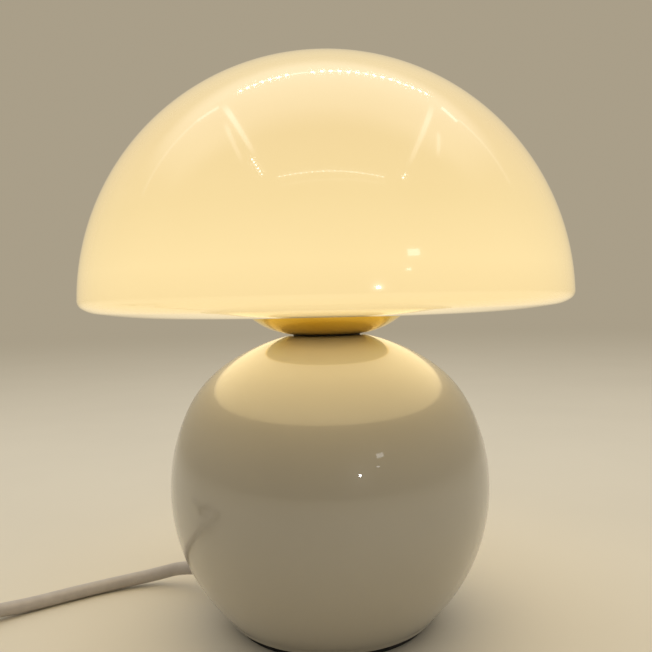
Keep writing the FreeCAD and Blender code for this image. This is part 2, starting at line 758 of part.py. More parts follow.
groove_step = "(relief_length / (relief_groove_count + 1))"
tail_grooves = []
for groove in range(int(size("relief_groove_count"))):
    near = f"({groove + 1} * {groove_step} - relief_groove_width / 2)"
    far = f"({groove + 1} * {groove_step} + relief_groove_width / 2)"
    tail_grooves += [
        (f"{tail_start} + {near}", tail_radius(near)),
        (f"{tail_start} + {near}", f"{tail_radius(near)} - relief_rib"),
        (f"{tail_start} + {far}", f"{tail_radius(far)} - relief_rib"),
        (f"{tail_start} + {far}", tail_radius(far)),
    ]
strain_relief = revolved("strain_relief", [
    (collar_back, relief_bore),
    (f"{tail_start} + relief_length", relief_bore),
    (f"{tail_start} + relief_length", "relief_tip_radius"),
    *reversed(tail_grooves),
    (tail_start, "relief_flange_radius"),
    (tail_start, relief_neck),
    (collar_face, relief_neck),
    (collar_face, "relief_collar_radius"),
    (collar_back, "relief_collar_radius"),
], axis="H_Axis")
place(strain_relief, z="cord_height", turn="cord_azimuth")

inner_cord_sheath = cylinder("sheath_rod", "cord_radius", "sheath_end - sheath_start", x="sheath_start",
                             z="cord_height", turn="90", axis=(0, 1, 0))
inner_cord_sheath = group("inner_cord_sheath", [inner_cord_sheath], turn="cord_azimuth")


# Cord clamp

clamp_middle = "clamp_start + clamp_length / 2"
clamp_floor = "(cord_height - cord_radius - clamp_gap)"
clamp_roof = "(cord_height + cord_radius + clamp_gap)"


def clamp_screw_set(name, radius, length):
    return [cylinder(f"{name}_{side}", radius, length, x=clamp_middle, y=f"{sign} * clamp_screw_offset")
            for side, sign in sides]


cord_clamp_base = cut("cord_clamp_base",
                      box("clamp_base_block", "clamp_length", "clamp_width", f"{clamp_floor} - {plate_top}",
                          x=clamp_middle),
                      group("clamp_base_holes", clamp_screw_set("clamp_base_hole", "clamp_screw_radius",
                                                                "clamp_width")),
                      z=plate_top, turn="cord_azimuth")
clamp_bridge_cuts = clamp_screw_set("clamp_bridge_hole", "clamp_screw_radius", "clamp_width")
clamp_bridge_cuts.append(box("clamp_channel", "2 * clamp_length", "2 * (cord_radius + clamp_gap)",
                             f"{clamp_roof} - {clamp_floor}", x=clamp_middle))
cord_clamp_bridge = cut("cord_clamp_bridge",
                        box("clamp_bridge_block", "clamp_length", "clamp_width",
                            f"{clamp_roof} - {clamp_floor} + clamp_bar", x=clamp_middle),
                        group("clamp_bridge_cuts", clamp_bridge_cuts), z=clamp_floor, turn="cord_azimuth")
clamp_stack = f"({clamp_roof} + clamp_bar - {plate_top})"
cord_clamp_screws = []
for side, sign in sides:
    across = f"{sign} * clamp_screw_offset"
    cord_clamp_screws.append(fuse(f"clamp_screw_{side}", [
        cylinder(f"clamp_shank_{side}", "clamp_screw_radius", clamp_stack, x=clamp_middle, y=across),
        cylinder(f"clamp_head_{side}", "clamp_head_radius", "clamp_head_height", x=clamp_middle, y=across,
                 z=clamp_stack),
    ]))
cord_clamp_screws = group("cord_clamp_screws", cord_clamp_screws, z=plate_top, turn="cord_azimuth")


# Cords and wires: straight runs joined by tangent arcs

def swept(name, points, radius, bends=None):
    """A round tube along points. Without bends, each arc takes what its two runs allow."""
    edges, radii = [], []
    start = points[0]
    length = 0
    for index in range(1, len(points) - 1):
        corner = points[index]
        back, ahead = points[index - 1] - corner, points[index + 1] - corner
        turn = math.pi - back.getAngle(ahead)
        tangent = 0.45 * min(back.Length, ahead.Length)
        bend = tangent / math.tan(turn / 2)
        if bends:
            bend = bends[index - 1]
            tangent = bend * math.tan(turn / 2)
        into, out = corner + back.normalize() * tangent, corner + ahead.normalize() * tangent
        middle = corner + (back + ahead).normalize() * (bend / math.cos(turn / 2) - bend)
        edges += [Part.LineSegment(start, into).toShape(), Part.Arc(into, middle, out).toShape()]
        length += start.distanceToPoint(into) + bend * turn
        radii.append(round(bend, 1))
        start = out
    edges.append(Part.LineSegment(start, points[-1]).toShape())
    length += start.distanceToPoint(points[-1])
    path = Part.Wire(edges)
    ring = Part.Wire([Part.Circle(points[0], points[1] - points[0], radius).toShape()])
    tube = added("Part::Feature", name)
    tube.Shape = path.makePipeShell([ring], True, False)
    expected = math.pi * radius ** 2 * length
    print(f"{name}: length {length:.1f}, radii {radii}, volume ratio {tube.Shape.Volume / expected:.4f}")
    return tube


azimuth = math.radians(size("cord_azimuth"))
outward = vector(math.cos(azimuth), math.sin(azimuth), 0)
across = vector(-math.sin(azimuth), math.cos(azimuth), 0)
up = vector(0, 0, 1)

wire_top = size(f"{insert_bottom} - wire_radius")
wire_stop = size("terminal_spacing / 2 - terminal_screw_radius - wire_end_gap")
wires = {}
for side, sign in sides:
    shift = across * (float(sign) * size("wire_offset"))
    wires[side] = swept(f"{side}_wire", [
        outward * size("sheath_start") + shift + up * size("cord_height"),
        shift + up * size("cord_height"),
        shift + up * wire_top,
        across * (float(sign) * wire_stop) + up * wire_top,
    ], size("wire_radius"), [size("wire_bend"), size("wire_top_bend")])

# The switch lies along the cord, just outside the view.
switch_heading = 220
switch_entry = vector(-163.9, -18.1, 0)
heading = math.radians(switch_heading)
forward = vector(math.cos(heading), math.sin(heading), 0)
switch_middle = switch_entry + forward * (size("switch_length") / 2)
relief_inside = size("switch_relief_inside")

cord_radius = size("cord_radius")
cord_floor = size("cord_floor")
cord_route = [
    (-86, 34, 6.6),
    (-103, 28.5, cord_floor),
    (-119, 18, cord_floor),
    (-134, 7, cord_floor),
    (-144.7, -2, 4.3),
    (-154.7, -10.4, 6.5),
]
cord_to_switch = swept("cord_to_switch", [
    outward * size("sheath_end") + up * size("cord_height"),
    outward * size("cord_straight") + up * size("cord_height"),
    *(vector(*point) for point in cord_route),
    switch_entry + forward * relief_inside + up * size("switch_cord_height"),
], cord_radius)


# Inline switch: its own frame has X along the cord and the origin on the table under its middle

def at_switch(feature, z="0"):
    return place(feature, x=str(switch_middle.x), y=str(switch_middle.y), z=z, turn=str(switch_heading))


ends = (("front", "-1"), ("back", "1"))
switch_outline = rounded_rectangle("switch_length", "switch_width", "switch_corner")
relief_seat = "(switch_relief_radius + switch_screw_gap)"
cover_height = "(switch_height - switch_cord_height)"


def cord_seats(name, z):
    """Round seats for the cord's reliefs, through both ends of a housing half."""
    return [cylinder(f"{name}_{end}", relief_seat, "switch_relief_inside + switch_wall",
                     x=f"{sign} * switch_length / 2 + ({sign} - 1) / 2 * switch_wall - ({sign} + 1) / 2"
                       " * switch_relief_inside", z=z, turn="90", axis=(0, 1, 0)) for end, sign in ends]


def cover_screw_set(name, radius, length, z):
    """One cylinder at each of the two cover screws, in opposite corners."""
    return [cylinder(f"{name}_{end}", radius, length, x=f"{sign} * switch_screw_along",
                     y=f"-({sign}) * switch_screw_across", z=z) for end, sign in ends]


switch_base_blank = padded("switch_base_blank", switch_outline, "switch_cord_height")
switch_base = cut("switch_base", switch_base_blank, group("switch_base_cuts", [
    box("switch_base_pocket", "switch_pocket_length", "switch_pocket_width", "switch_cord_height", z="switch_wall"),
    *cord_seats("switch_base_seat", "switch_cord_height"),
    *cover_screw_set("switch_base_hole", "switch_screw_radius + switch_screw_gap", "switch_height", "0"),
    *cover_screw_set("switch_base_sink", "switch_screw_head + switch_screw_gap",
                     "switch_screw_head_height + switch_screw_gap", "0"),
]))
at_switch(switch_base)

cover_blank = padded("switch_cover_blank", switch_outline, cover_height)
rounded(cover_blank, "switch_edge", lambda bounds: bounds.ZMin > size(cover_height) - 0.01)

lug_inside = "(rocker_width / 2 + rocker_side_gap)"
pin_z = "(rocker_pin_height - switch_cord_height)"
lugs = []
for side, sign in sides:
    lugs.append(box(f"rocker_lug_{side}", "rocker_lug_length", "rocker_lug_thickness",
                    f"{cover_height} - switch_wall - {pin_z} + rocker_lug_length / 2",
                    y=f"{sign} * ({lug_inside} + rocker_lug_thickness / 2)", z=f"{pin_z} - rocker_lug_length / 2"))
pin_length = f"(2 * ({lug_inside} + rocker_lug_thickness))"
cover_shell = cut("switch_cover_shell", cover_blank, group("switch_cover_cuts", [
    box("switch_cover_pocket", "switch_pocket_length", "switch_pocket_width", f"{cover_height} - switch_wall"),
    box("rocker_opening", "rocker_length + 2 * rocker_end_gap", f"2 * {lug_inside}", "switch_height"),
    *cord_seats("switch_cover_seat", "0"),
    *cover_screw_set("switch_cover_hole", "switch_screw_radius + switch_thread_gap", "switch_pocket_width / 4",
                     "0"),
]))
switch_cover = cut("switch_cover", fuse("switch_cover_with_lugs", [cover_shell, *lugs]),
                   cylinder("rocker_pin_bore", "rocker_pin_radius + rocker_pin_gap / 2", pin_length,
                            y=f"{pin_length} / 2", z=pin_z, turn="90", axis=(1, 0, 0)))
at_switch(switch_cover, "switch_cord_height")

switch_cover_screws = []
for end, sign in ends:
    where = {"x": f"{sign} * switch_screw_along", "y": f"-({sign}) * switch_screw_across"}
    head = cylinder(f"cover_screw_head_{end}", "switch_screw_head", "switch_screw_head_height", **where)
    slot = box(f"cover_screw_slot_{end}", "2 * switch_screw_head", "switch_screw_head / 4", "switch_screw_head / 4",
               **where)
    shank = cylinder(f"cover_screw_shank_{end}", "switch_screw_radius", "switch_cord_height + switch_screw_depth",
                     z="switch_screw_head / 4", **where)
    switch_cover_screws.append(fuse(f"cover_screw_{end}", [cut(f"cover_screw_slotted_{end}", head, slot), shank]))
switch_cover_screws = at_switch(group("switch_cover_screws", switch_cover_screws), "switch_screw_gap")

relief_outline = [
    ("0", relief_bore),
    ("switch_relief_length", relief_bore),
    ("switch_relief_length", "switch_relief_tip"),
    ("switch_relief_inside", "switch_relief_radius"),
    ("0", "switch_relief_radius"),
]
switch_reliefs = []
for end, sign in ends:
    relief = revolved(f"switch_relief_{end}", relief_outline, axis="H_Axis")
    switch_reliefs.append(place(relief, x=f"{sign} * (switch_length / 2 - switch_relief_inside)",
                                turn=f"90 - {sign} * 90"))
switch_reliefs = at_switch(group("switch_reliefs", switch_reliefs), "switch_cord_height")

# The rocker's outline is drawn level about its pin, and rests tilted on its stop.
half_rocker = "rocker_length / 2"
rocker_blank = padded("rocker_blank", [
    (f"-({half_rocker} - rocker_side)", "-(rocker_side)"),
    ("0", "-(rocker_bottom)"),
    (f"{half_rocker} - rocker_side", "-(rocker_side)"),
    (half_rocker, "rocker_crown + rocker_dip"),
    (f"-({half_rocker})", "rocker_crown + rocker_dip", "rocker_length * 2", -1),
], "rocker_width", plane="XZ_Plane", midplane=True)
rocker_bored = cut("rocker_bored", rocker_blank,
                   cylinder("rocker_bore", "rocker_pin_radius + rocker_pin_gap", "2 * rocker_width",
                            y="rocker_width", turn="90", axis=(1, 0, 0)))
switch_rocker = at_switch(group("switch_rocker", [place(rocker_bored, turn="rocker_tilt", axis=(0, 1, 0))]),
                          "rocker_pin_height")
rocker_pin = at_switch(group("rocker_pin", [
    cylinder("rocker_pin_rod", "rocker_pin_radius", pin_length, y=f"{pin_length} / 2", turn="90", axis=(1, 0, 0)),
]), "rocker_pin_height")
contact_strip = box("rocker_contact_strip", "rocker_contact_length", "rocker_contact_width",
                    "rocker_contact_thickness", z="-(rocker_bottom) - rocker_contact_thickness")
rocker_contact = at_switch(group("rocker_contact", [
    place(group("rocker_contact_tilted", [contact_strip]), turn="rocker_tilt", axis=(0, 1, 0)),
]), "rocker_pin_height")

strip_low = "(rocker_bottom + rocker_contact_thickness)"
middle_post = f"rocker_pin_height - {strip_low} / cos(rocker_tilt) - 2 * switch_post_gap - switch_wall"
side_post = (f"rocker_pin_height - {strip_low} * cos(rocker_tilt) - rocker_contact_length / 2 * sin(rocker_tilt)"
             " - switch_post_gap - switch_wall")
switch_contacts = []
for name, sign, post_x, post_height in (("line", "-1", "0", middle_post),
                                        ("load", "1", "rocker_contact_length / 2", side_post)):
    terminal = f"{sign} * switch_terminal_along"
    switch_contacts.append(fuse(f"{name}_contact", [
        box(f"{name}_contact_strip", f"switch_terminal_along - {sign} * ({post_x}) + switch_contact_width",
            "switch_contact_width", "switch_contact_thickness", x=f"({terminal} + {post_x}) / 2",
            y="-(switch_contact_across)"),
        box(f"{name}_contact_post", "switch_post_thickness", "switch_contact_across + switch_contact_width / 2",
            post_height, x=post_x, y="-(switch_contact_across + switch_contact_width / 2) / 2"),
    ]))
switch_contacts = at_switch(group("switch_contacts", switch_contacts), "switch_wall")

switch_terminal_screws = []
for end, sign in ends:
    where = {"x": f"{sign} * switch_terminal_along", "y": "-(switch_contact_across)"}
    switch_terminal_screws.append(fuse(f"switch_terminal_screw_{end}", [
        cylinder(f"switch_terminal_shank_{end}", "switch_contact_width / 3", "2 * switch_wire_radius", **where),
        cylinder(f"switch_terminal_head_{end}", "switch_contact_width / 2", "switch_contact_thickness * 2",
                 z="2 * switch_wire_radius", **where),
    ]))
switch_terminal_screws = at_switch(group("switch_terminal_screws", switch_terminal_screws),
                                   "switch_wall + switch_contact_thickness")


def in_switch(along, sideways, height):
    """A point of the switch's own frame, in the lamp's frame."""
    left = vector(-forward.y, forward.x, 0)
    return switch_middle + forward * along + left * sideways + up * height


wire_reach = size("switch_length / 2 - switch_relief_inside - switch_wire_radius")
wire_side = size("wire_offset")
cord_line = size("switch_cord_height")
wire_low = size("switch_wall + switch_contact_thickness + switch_wire_radius")
terminal_y = -size("switch_contact_across")
live_stop = size("switch_terminal_along + switch_contact_width / 3 + switch_wire_radius / 2")
live_bend_x = live_stop + size("switch_live_run")
live_bend_z = wire_low + size("switch_live_rise")
neutral_bend = size("switch_wire_bend")
neutral_turn = wire_reach - size("switch_wire_run")
neutral_y = size("switch_wire_across")
neutral_z = size("switch_wire_height")
neutral_run = swept("switch_neutral", [
    in_switch(-wire_reach, wire_side, cord_line),
    in_switch(-neutral_turn, neutral_y, neutral_z),
    in_switch(neutral_turn, neutral_y, neutral_z),
    in_switch(wire_reach, wire_side, cord_line),
], size("switch_wire_radius"), [neutral_bend, neutral_bend])
switch_wires = [neutral_run]
for end, sign in ends:
    switch_wires.append(swept(f"switch_live_{end}", [
        in_switch(float(sign) * wire_reach, -wire_side, cord_line),
        in_switch(float(sign) * live_bend_x, terminal_y, live_bend_z),
        in_switch(float(sign) * live_stop, terminal_y, wire_low),
    ], size("switch_wire_radius"), [size("switch_live_bend")]))
switch_wires = group("switch_wires", switch_wires)


# The put-away length: a lead, one closed ring for the coil, and a lead to the plug

switch_exit = switch_entry + forward * size("switch_length")
coil_outer_turn = size("coil_mean_radius + coil_half_width") - cord_radius
right_of_cord = vector(forward.y, -forward.x, 0)
coil_centre = switch_exit + forward * size("coil_lead") + right_of_cord * coil_outer_turn
cord_to_coil = swept("cord_to_coil", [
    switch_exit - forward * relief_inside + up * cord_line,
    switch_exit + forward * size("coil_lead_straight") + up * cord_line,
    switch_exit + forward * size("coil_lead_end") + up * size("coil_entry_height"),
], cord_radius)

coil_inside = "coil_mean_radius - coil_half_width"
coil_outside = "coil_mean_radius + coil_half_width"
coil_top = "coil_floor + coil_height"


def ring_section(inside, outside, bottom, top, corner):
    """A rounded rectangle between two radii and two heights."""
    return [
        (f"{outside} - ({corner})", bottom),
        (outside, f"{bottom} + {corner}", corner, 1),
        (outside, f"{top} - ({corner})"),
        (f"{outside} - ({corner})", top, corner, 1),
        (f"{inside} + {corner}", top),
        (inside, f"{top} - ({corner})", corner, 1),
        (inside, f"{bottom} + {corner}"),
        (f"{inside} + {corner}", bottom, corner, 1),
    ]


coil_x, coil_y = str(coil_centre.x), str(coil_centre.y)
cord_coil = place(revolved("cord_coil", ring_section(coil_inside, coil_outside, "coil_floor", coil_top,
                                                     "coil_round")), x=coil_x, y=coil_y)
tie_reach = "tie_gap + tie_thickness"
tie_outer = revolved("tie_outer", ring_section(f"{coil_inside} - ({tie_reach})", f"{coil_outside} + {tie_reach}",
                                               f"coil_floor - ({tie_reach})", f"{coil_top} + {tie_reach}",
                                               f"coil_round + {tie_reach}"), angle="tie_width_angle")
tie_inner = revolved("tie_inner", ring_section(f"{coil_inside} - tie_gap", f"{coil_outside} + tie_gap",
                                               "coil_floor - tie_gap", f"{coil_top} + tie_gap",
                                               "coil_round + tie_gap"))
coil_tie = cut("coil_tie", tie_outer, tie_inner, x=coil_x, y=coil_y, turn="tie_azimuth")


# Plug: it lies flat beside the coil, pins towards +Y

plug_x = coil_centre.x - coil_outer_turn
plug_mouth_y = coil_centre.y + size("plug_lead")
plug_face_y = plug_mouth_y + size("plug_relief_length + plug_length")
plug_line = size("plug_height / 2")
cord_to_plug = swept("cord_to_plug", [
    vector(plug_x, coil_centre.y + size("coil_exit_run"), size("coil_exit_height")),
    vector(plug_x, coil_centre.y + size("plug_lead_slope"), size("plug_lead_height")),
    vector(plug_x, coil_centre.y + size("plug_lead_level"), plug_line),
    vector(plug_x, plug_mouth_y + size("plug_relief_length - 2 * plug_round"), plug_line),
], cord_radius)

plug_blank = padded("plug_blank", [
    ("plug_width / 2", "0"),
    ("plug_width / 2", "plug_length - 2 * plug_round"),
    ("plug_front_width / 2", "plug_length"),
    ("-(plug_front_width) / 2", "plug_length"),
    ("-(plug_width) / 2", "plug_length - 2 * plug_round"),
    ("-(plug_width) / 2", "0"),
    ("-(plug_relief_radius)", "-(plug_round)"),
    ("plug_relief_radius", "-(plug_round)"),
], "plug_height", midplane=True)
rounded(plug_blank, "plug_round", lambda bounds: bounds.YLength > 1 and bounds.YMin > -1)
plug_tail = cone("plug_tail", "plug_relief_radius", "plug_relief_tip", "plug_relief_length", turn="90",
                 axis=(1, 0, 0))
plug_cord_bore = cylinder("plug_cord_bore", relief_bore, "plug_relief_length - plug_round * 2",
                          y="-2 * plug_round", turn="90", axis=(1, 0, 0))
pin_ways = [cylinder(f"pin_way_{side}", "pin_core_radius + pin_gap", "pin_root", x=f"{sign} * pin_spacing / 2",
                     y="plug_length", turn="90", axis=(1, 0, 0)) for side, sign in sides]
plug_body = cut("plug_body", fuse("plug_solid", [plug_blank, plug_tail]),
                group("plug_cuts", [plug_cord_bore, *pin_ways]))


def at_plug(feature):
    return place(feature, x=str(plug_x), y=str(plug_mouth_y + size("plug_relief_length")), z=str(plug_line))


at_plug(plug_body)
plug_pins, plug_pin_sleeves = [], []
for side, sign in sides:
    where = {"x": f"{sign} * pin_spacing / 2", "turn": "90", "axis": (1, 0, 0)}
    core = cylinder(f"pin_core_{side}", "pin_core_radius", "pin_root + pin_sleeve_length",
                    y="plug_length + pin_sleeve_length", **where)
    rod = cylinder(f"pin_rod_{side}", "pin_radius", "pin_length - pin_sleeve_length - pin_radius / 2",
                   y="plug_length + pin_length - pin_radius / 2", **where)
    tip = cone(f"pin_tip_{side}", "pin_radius / 2", "pin_radius", "pin_radius / 2", y="plug_length + pin_length",
               **where)
    plug_pins.append(fuse(f"pin_{side}", [core, rod, tip]))
    plug_pin_sleeves.append(cut(f"pin_sleeve_{side}",
                                cylinder(f"sleeve_outer_{side}", "pin_sleeve_radius", "pin_sleeve_length",
                                         y="plug_length + pin_sleeve_length", **where),
                                cylinder(f"sleeve_inner_{side}", "pin_core_radius", "pin_sleeve_length",
                                         y="plug_length + pin_sleeve_length", **where)))
plug_pins = at_plug(group("plug_pins", plug_pins))
plug_pin_sleeves = at_plug(group("plug_pin_sleeves", plug_pin_sleeves))


# Check every feature and write the sub-parts

document.recompute()
for feature in document.Objects:
    if "Invalid" in feature.State or "Error" in feature.State:
        raise RuntimeError(f"{feature.Name} failed: {feature.State}")

sub_parts = [
    foot_pad, bottom_plate, base_ball, tube_seal_washer, tube_washer, tube_lock_washer, tube_nut, center_tube,
    top_gasket, shade_cup, cup_washer, cup_nut, shade_seat_ring, glass_shade, holder_cap, holder_skirt,
    holder_insert, center_contact, side_contact, terminal_screws, bulb_tip_contact, bulb_insulator,
    bulb_screw_cap, bulb_housing, bulb_globe, bulb_led_board, strain_relief, inner_cord_sheath, cord_clamp_base,
    cord_clamp_bridge, cord_clamp_screws, wires["live"], wires["neutral"], cord_to_switch, switch_base,
    switch_cover, switch_cover_screws, switch_reliefs, switch_rocker, rocker_pin, rocker_contact, switch_contacts,
    switch_terminal_screws, switch_wires, cord_to_coil, cord_coil, coil_tie, cord_to_plug, plug_body, plug_pins,
    plug_pin_sleeves,
]
os.makedirs("parts", exist_ok=True)
for sub_part in sub_parts:
    shape = sub_part.Shape
    if shape.isNull() or not shape.isValid():
        raise RuntimeError(f"{sub_part.Label} has no valid shape")
    shape.exportStep(f"parts/{sub_part.Label}.step")
print(len(sub_parts), "sub-parts written")
print("switch middle", switch_middle, "coil centre", coil_centre, "plug", plug_x, plug_face_y)
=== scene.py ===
import json
import math
import bpy
from mathutils import Matrix, Vector


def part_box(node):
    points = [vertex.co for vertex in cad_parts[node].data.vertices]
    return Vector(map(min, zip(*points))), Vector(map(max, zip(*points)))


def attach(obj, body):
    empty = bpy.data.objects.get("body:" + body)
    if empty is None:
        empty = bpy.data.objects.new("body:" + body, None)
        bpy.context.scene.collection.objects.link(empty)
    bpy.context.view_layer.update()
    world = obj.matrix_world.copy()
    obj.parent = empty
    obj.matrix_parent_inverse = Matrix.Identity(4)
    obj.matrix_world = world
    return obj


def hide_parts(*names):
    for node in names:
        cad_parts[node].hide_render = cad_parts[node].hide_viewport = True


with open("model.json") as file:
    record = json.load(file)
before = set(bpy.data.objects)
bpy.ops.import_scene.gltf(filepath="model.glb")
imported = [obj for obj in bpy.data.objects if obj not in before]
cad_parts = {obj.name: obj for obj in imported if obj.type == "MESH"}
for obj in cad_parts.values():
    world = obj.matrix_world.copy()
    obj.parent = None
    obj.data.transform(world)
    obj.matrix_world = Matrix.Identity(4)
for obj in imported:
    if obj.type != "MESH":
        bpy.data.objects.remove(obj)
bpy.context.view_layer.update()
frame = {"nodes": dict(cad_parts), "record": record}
nodes = frame["nodes"]
mm = 0.001
mergeReach = 0.002  # millimetres within which two points of a piece become one
levelWithin = 0.01  # millimetres within which an edge counts as lying at a height
latheCrease = 40  # degrees past which an edge stays sharp
prismCrease = 35
flatLeft = 0.02  # half of the flat that stays between two corner rounds
print("frame loaded:", len(nodes), "nodes")


# Camera: a phone's wide lens close to the lamp, a little above its middle

cameraSetup = {
    "distance": 0.3, "height": 0.13455,
    "pitch": 0.037, "roll": -0.0225, "yaw": 0.0008,
    "lens": 38.98, "sensor": 36,
}


def addCamera(setup):
    bpy.ops.object.camera_add()
    camera = bpy.context.active_object
    camera.name = "productCamera"
    camera.data.lens = setup["lens"]
    camera.data.sensor_width = setup["sensor"]
    place = Matrix.Translation((0, -setup["distance"], setup["height"]))
    turn = Matrix.Rotation(setup["yaw"], 4, "Z") @ Matrix.Rotation(math.pi / 2 - setup["pitch"], 4, "X")
    camera.matrix_world = place @ turn @ Matrix.Rotation(setup["roll"], 4, "Z")
    camera.data.clip_start = 0.01
    bpy.context.scene.camera = camera


addCamera(cameraSetup)


# Modelling helpers

def deselectAll():
    bpy.ops.object.select_all(action="DESELECT")


def activate(piece):
    deselectAll()
    piece.select_set(True)
    bpy.context.view_layer.objects.active = piece


def arc(centre, radius, start, end, steps):
    angles = [math.radians(start + (end - start) * step / steps) for step in range(steps + 1)]
    return [(centre[0] + radius * math.cos(a), centre[1] + radius * math.sin(a)) for a in angles]


def lathe(name, profile, steps=128, closed=True, angle=360):  # profile is (radius, height) in millimetres
    deselectAll()
    outline = [(x * mm, z * mm) for x, z in profile]
    if closed:
        outline.append(outline[0])
    bpy.ops.mesh.primitive_plane_add(size=mm, location=(outline[0][0], 0, outline[0][1]))
    piece = bpy.context.active_object
    piece.name = name
    bpy.ops.object.transform_apply(location=True, rotation=True, scale=True)
    bpy.ops.object.mode_set(mode="EDIT")
    bpy.ops.mesh.select_all(action="SELECT")
    bpy.ops.mesh.merge(type="CENTER")
    for start, end in zip(outline, outline[1:]):
        step = (end[0] - start[0], 0, end[1] - start[1])
        bpy.ops.mesh.extrude_region_move(TRANSFORM_OT_translate={"value": step})
    bpy.ops.mesh.select_all(action="SELECT")
    bpy.ops.mesh.spin(steps=steps, angle=math.radians(angle), center=(0, 0, 0), axis=(0, 0, 1))
    bpy.ops.mesh.select_all(action="SELECT")
    bpy.ops.mesh.remove_doubles(threshold=mergeReach * mm)
    bpy.ops.mesh.normals_make_consistent(inside=False)
    bpy.ops.object.mode_set(mode="OBJECT")
    bpy.ops.object.shade_smooth_by_angle(angle=math.radians(latheCrease))
    return piece


def finish(piece, material, body, slot, *replaced):
    piece.data.materials.clear()
    piece.data.materials.append(material)
    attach(piece, body)
    if replaced:
        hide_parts(*replaced)
    return piece


# Material helpers

def newMaterial(name, **sockets):
    material = bpy.data.materials.new(name)
    material.use_nodes = True
    shader = material.node_tree.nodes["Principled BSDF"]
    for socket, value in sockets.items():
        shader.inputs[socket.replace("_", " ")].default_value = value
    return material


def shaderOf(material):
    return material.node_tree.nodes["Principled BSDF"]


def addNode(material, kind, **settings):
    node = material.node_tree.nodes.new(kind)
    for setting, value in settings.items():
        if hasattr(node, setting):
            setattr(node, setting, value)
        else:
            node.inputs[setting.replace("_", " ")].default_value = value
    return node


def link(material, source, target):
    material.node_tree.links.new(source, target)


def objectNoise(material, scale, detail=3, stretch=(1, 1, 1)):
    coordinates = addNode(material, "ShaderNodeTexCoord")
    mapping = addNode(material, "ShaderNodeMapping")
    mapping.inputs["Scale"].default_value = stretch
    noise = addNode(material, "ShaderNodeTexNoise", Scale=scale, Detail=detail)
    link(material, coordinates.outputs["Object"], mapping.inputs["Vector"])
    link(material, mapping.outputs["Vector"], noise.inputs["Vector"])
    return noise


def varyColour(material, first, second, scale, detail=3, low=0.35, high=0.65, stretch=(1, 1, 1)):
    noise = objectNoise(material, scale, detail, stretch)
    ramp = addNode(material, "ShaderNodeValToRGB")
    ramp.color_ramp.elements[0].position = low
    ramp.color_ramp.elements[0].color = (*first, 1)
    ramp.color_ramp.elements[1].position = high
    ramp.color_ramp.elements[1].color = (*second, 1)
    link(material, noise.outputs["Fac"], ramp.inputs["Fac"])
    link(material, ramp.outputs["Color"], shaderOf(material).inputs["Base Color"])


def varyRoughness(material, low, high, scale, stretch=(1, 1, 1)):
    noise = objectNoise(material, scale, 4, stretch)
    span = addNode(material, "ShaderNodeMapRange")
    span.inputs["To Min"].default_value = low
    span.inputs["To Max"].default_value = high
    link(material, noise.outputs["Fac"], span.inputs["Value"])
    link(material, span.outputs["Result"], shaderOf(material).inputs["Roughness"])


def addBump(material, scale, strength, depth, detail=3, stretch=(1, 1, 1), coat=False):
    noise = objectNoise(material, scale, detail, stretch)
    bump = addNode(material, "ShaderNodeBump", Strength=strength, Distance=depth)
    link(material, noise.outputs["Fac"], bump.inputs["Height"])
    link(material, bump.outputs["Normal"], shaderOf(material).inputs["Normal"])
    if coat:
        link(material, bump.outputs["Normal"], shaderOf(material).inputs["Coat Normal"])


# Finishes

def heightRamp(material, low, high, stops):
    coordinates = addNode(material, "ShaderNodeTexCoord")
    parts = addNode(material, "ShaderNodeSeparateXYZ")
    span = addNode(material, "ShaderNodeMapRange")
    span.inputs["From Min"].default_value = low
    span.inputs["From Max"].default_value = high
    ramp = addNode(material, "ShaderNodeValToRGB")
    for index, (position, colour) in enumerate(stops):
        stop = ramp.color_ramp.elements[index] if index < 2 else ramp.color_ramp.elements.new(position)
        stop.position = position
        stop.color = (*colour, 1)
    link(material, coordinates.outputs["Object"], parts.inputs["Vector"])
    link(material, parts.outputs["Z"], span.inputs["Value"])
    link(material, span.outputs["Result"], ramp.inputs["Fac"])
    return ramp


# Painted glow of the shade: colour stops by height, darker towards the top, and a stronger glow where the
# glass faces down
glassGlow = {
    "low": 0.128, "high": 0.234, "strength": 1.0, "underside": (1.0, 0.77, 0.36),
    "stops": [
        (0.0, (0.82, 0.61, 0.27)), (1.0, (0.64, 0.49, 0.21)),
        (0.17, (0.87, 0.66, 0.30)), (0.35, (0.79, 0.59, 0.25)),
        (0.6, (0.73, 0.53, 0.22)), (0.8, (0.72, 0.54, 0.24)),
    ],
    "turnStart": -0.98, "turnEnd": -0.9995,
}


def opalGlass(glow):  # the bulb's light is painted into the glass as glow: brighter low on the dome, darker towards the top, and strongest on the underside, which lights the ball below
    material = newMaterial("opalGlass", Roughness=0.12, Coat_Weight=1.0, Coat_Roughness=0.006, Coat_IOR=1.5)
    varyColour(material, (0.3, 0.28, 0.23), (0.33, 0.31, 0.26), 14)
    ramp = heightRamp(material, glow["low"], glow["high"], glow["stops"])
    coordinates = addNode(material, "ShaderNodeTexCoord")
    parts = addNode(material, "ShaderNodeSeparateXYZ")
    facing = addNode(material, "ShaderNodeMapRange", interpolation_type="SMOOTHSTEP")
    facing.inputs["From Min"].default_value = glow["turnStart"]
    facing.inputs["From Max"].default_value = glow["turnEnd"]
    blend = addNode(material, "ShaderNodeMix", data_type="RGBA")
    blend.inputs[7].default_value = (*glow["underside"], 1)
    link(material, coordinates.outputs["Normal"], parts.inputs["Vector"])
    link(material, parts.outputs["Z"], facing.inputs["Value"])
    link(material, facing.outputs["Result"], blend.inputs[0])
    link(material, ramp.outputs["Color"], blend.inputs[6])
    link(material, blend.outputs[2], shaderOf(material).inputs["Emission Color"])
    shaderOf(material).inputs["Emission Strength"].default_value = glow["strength"]
    return material


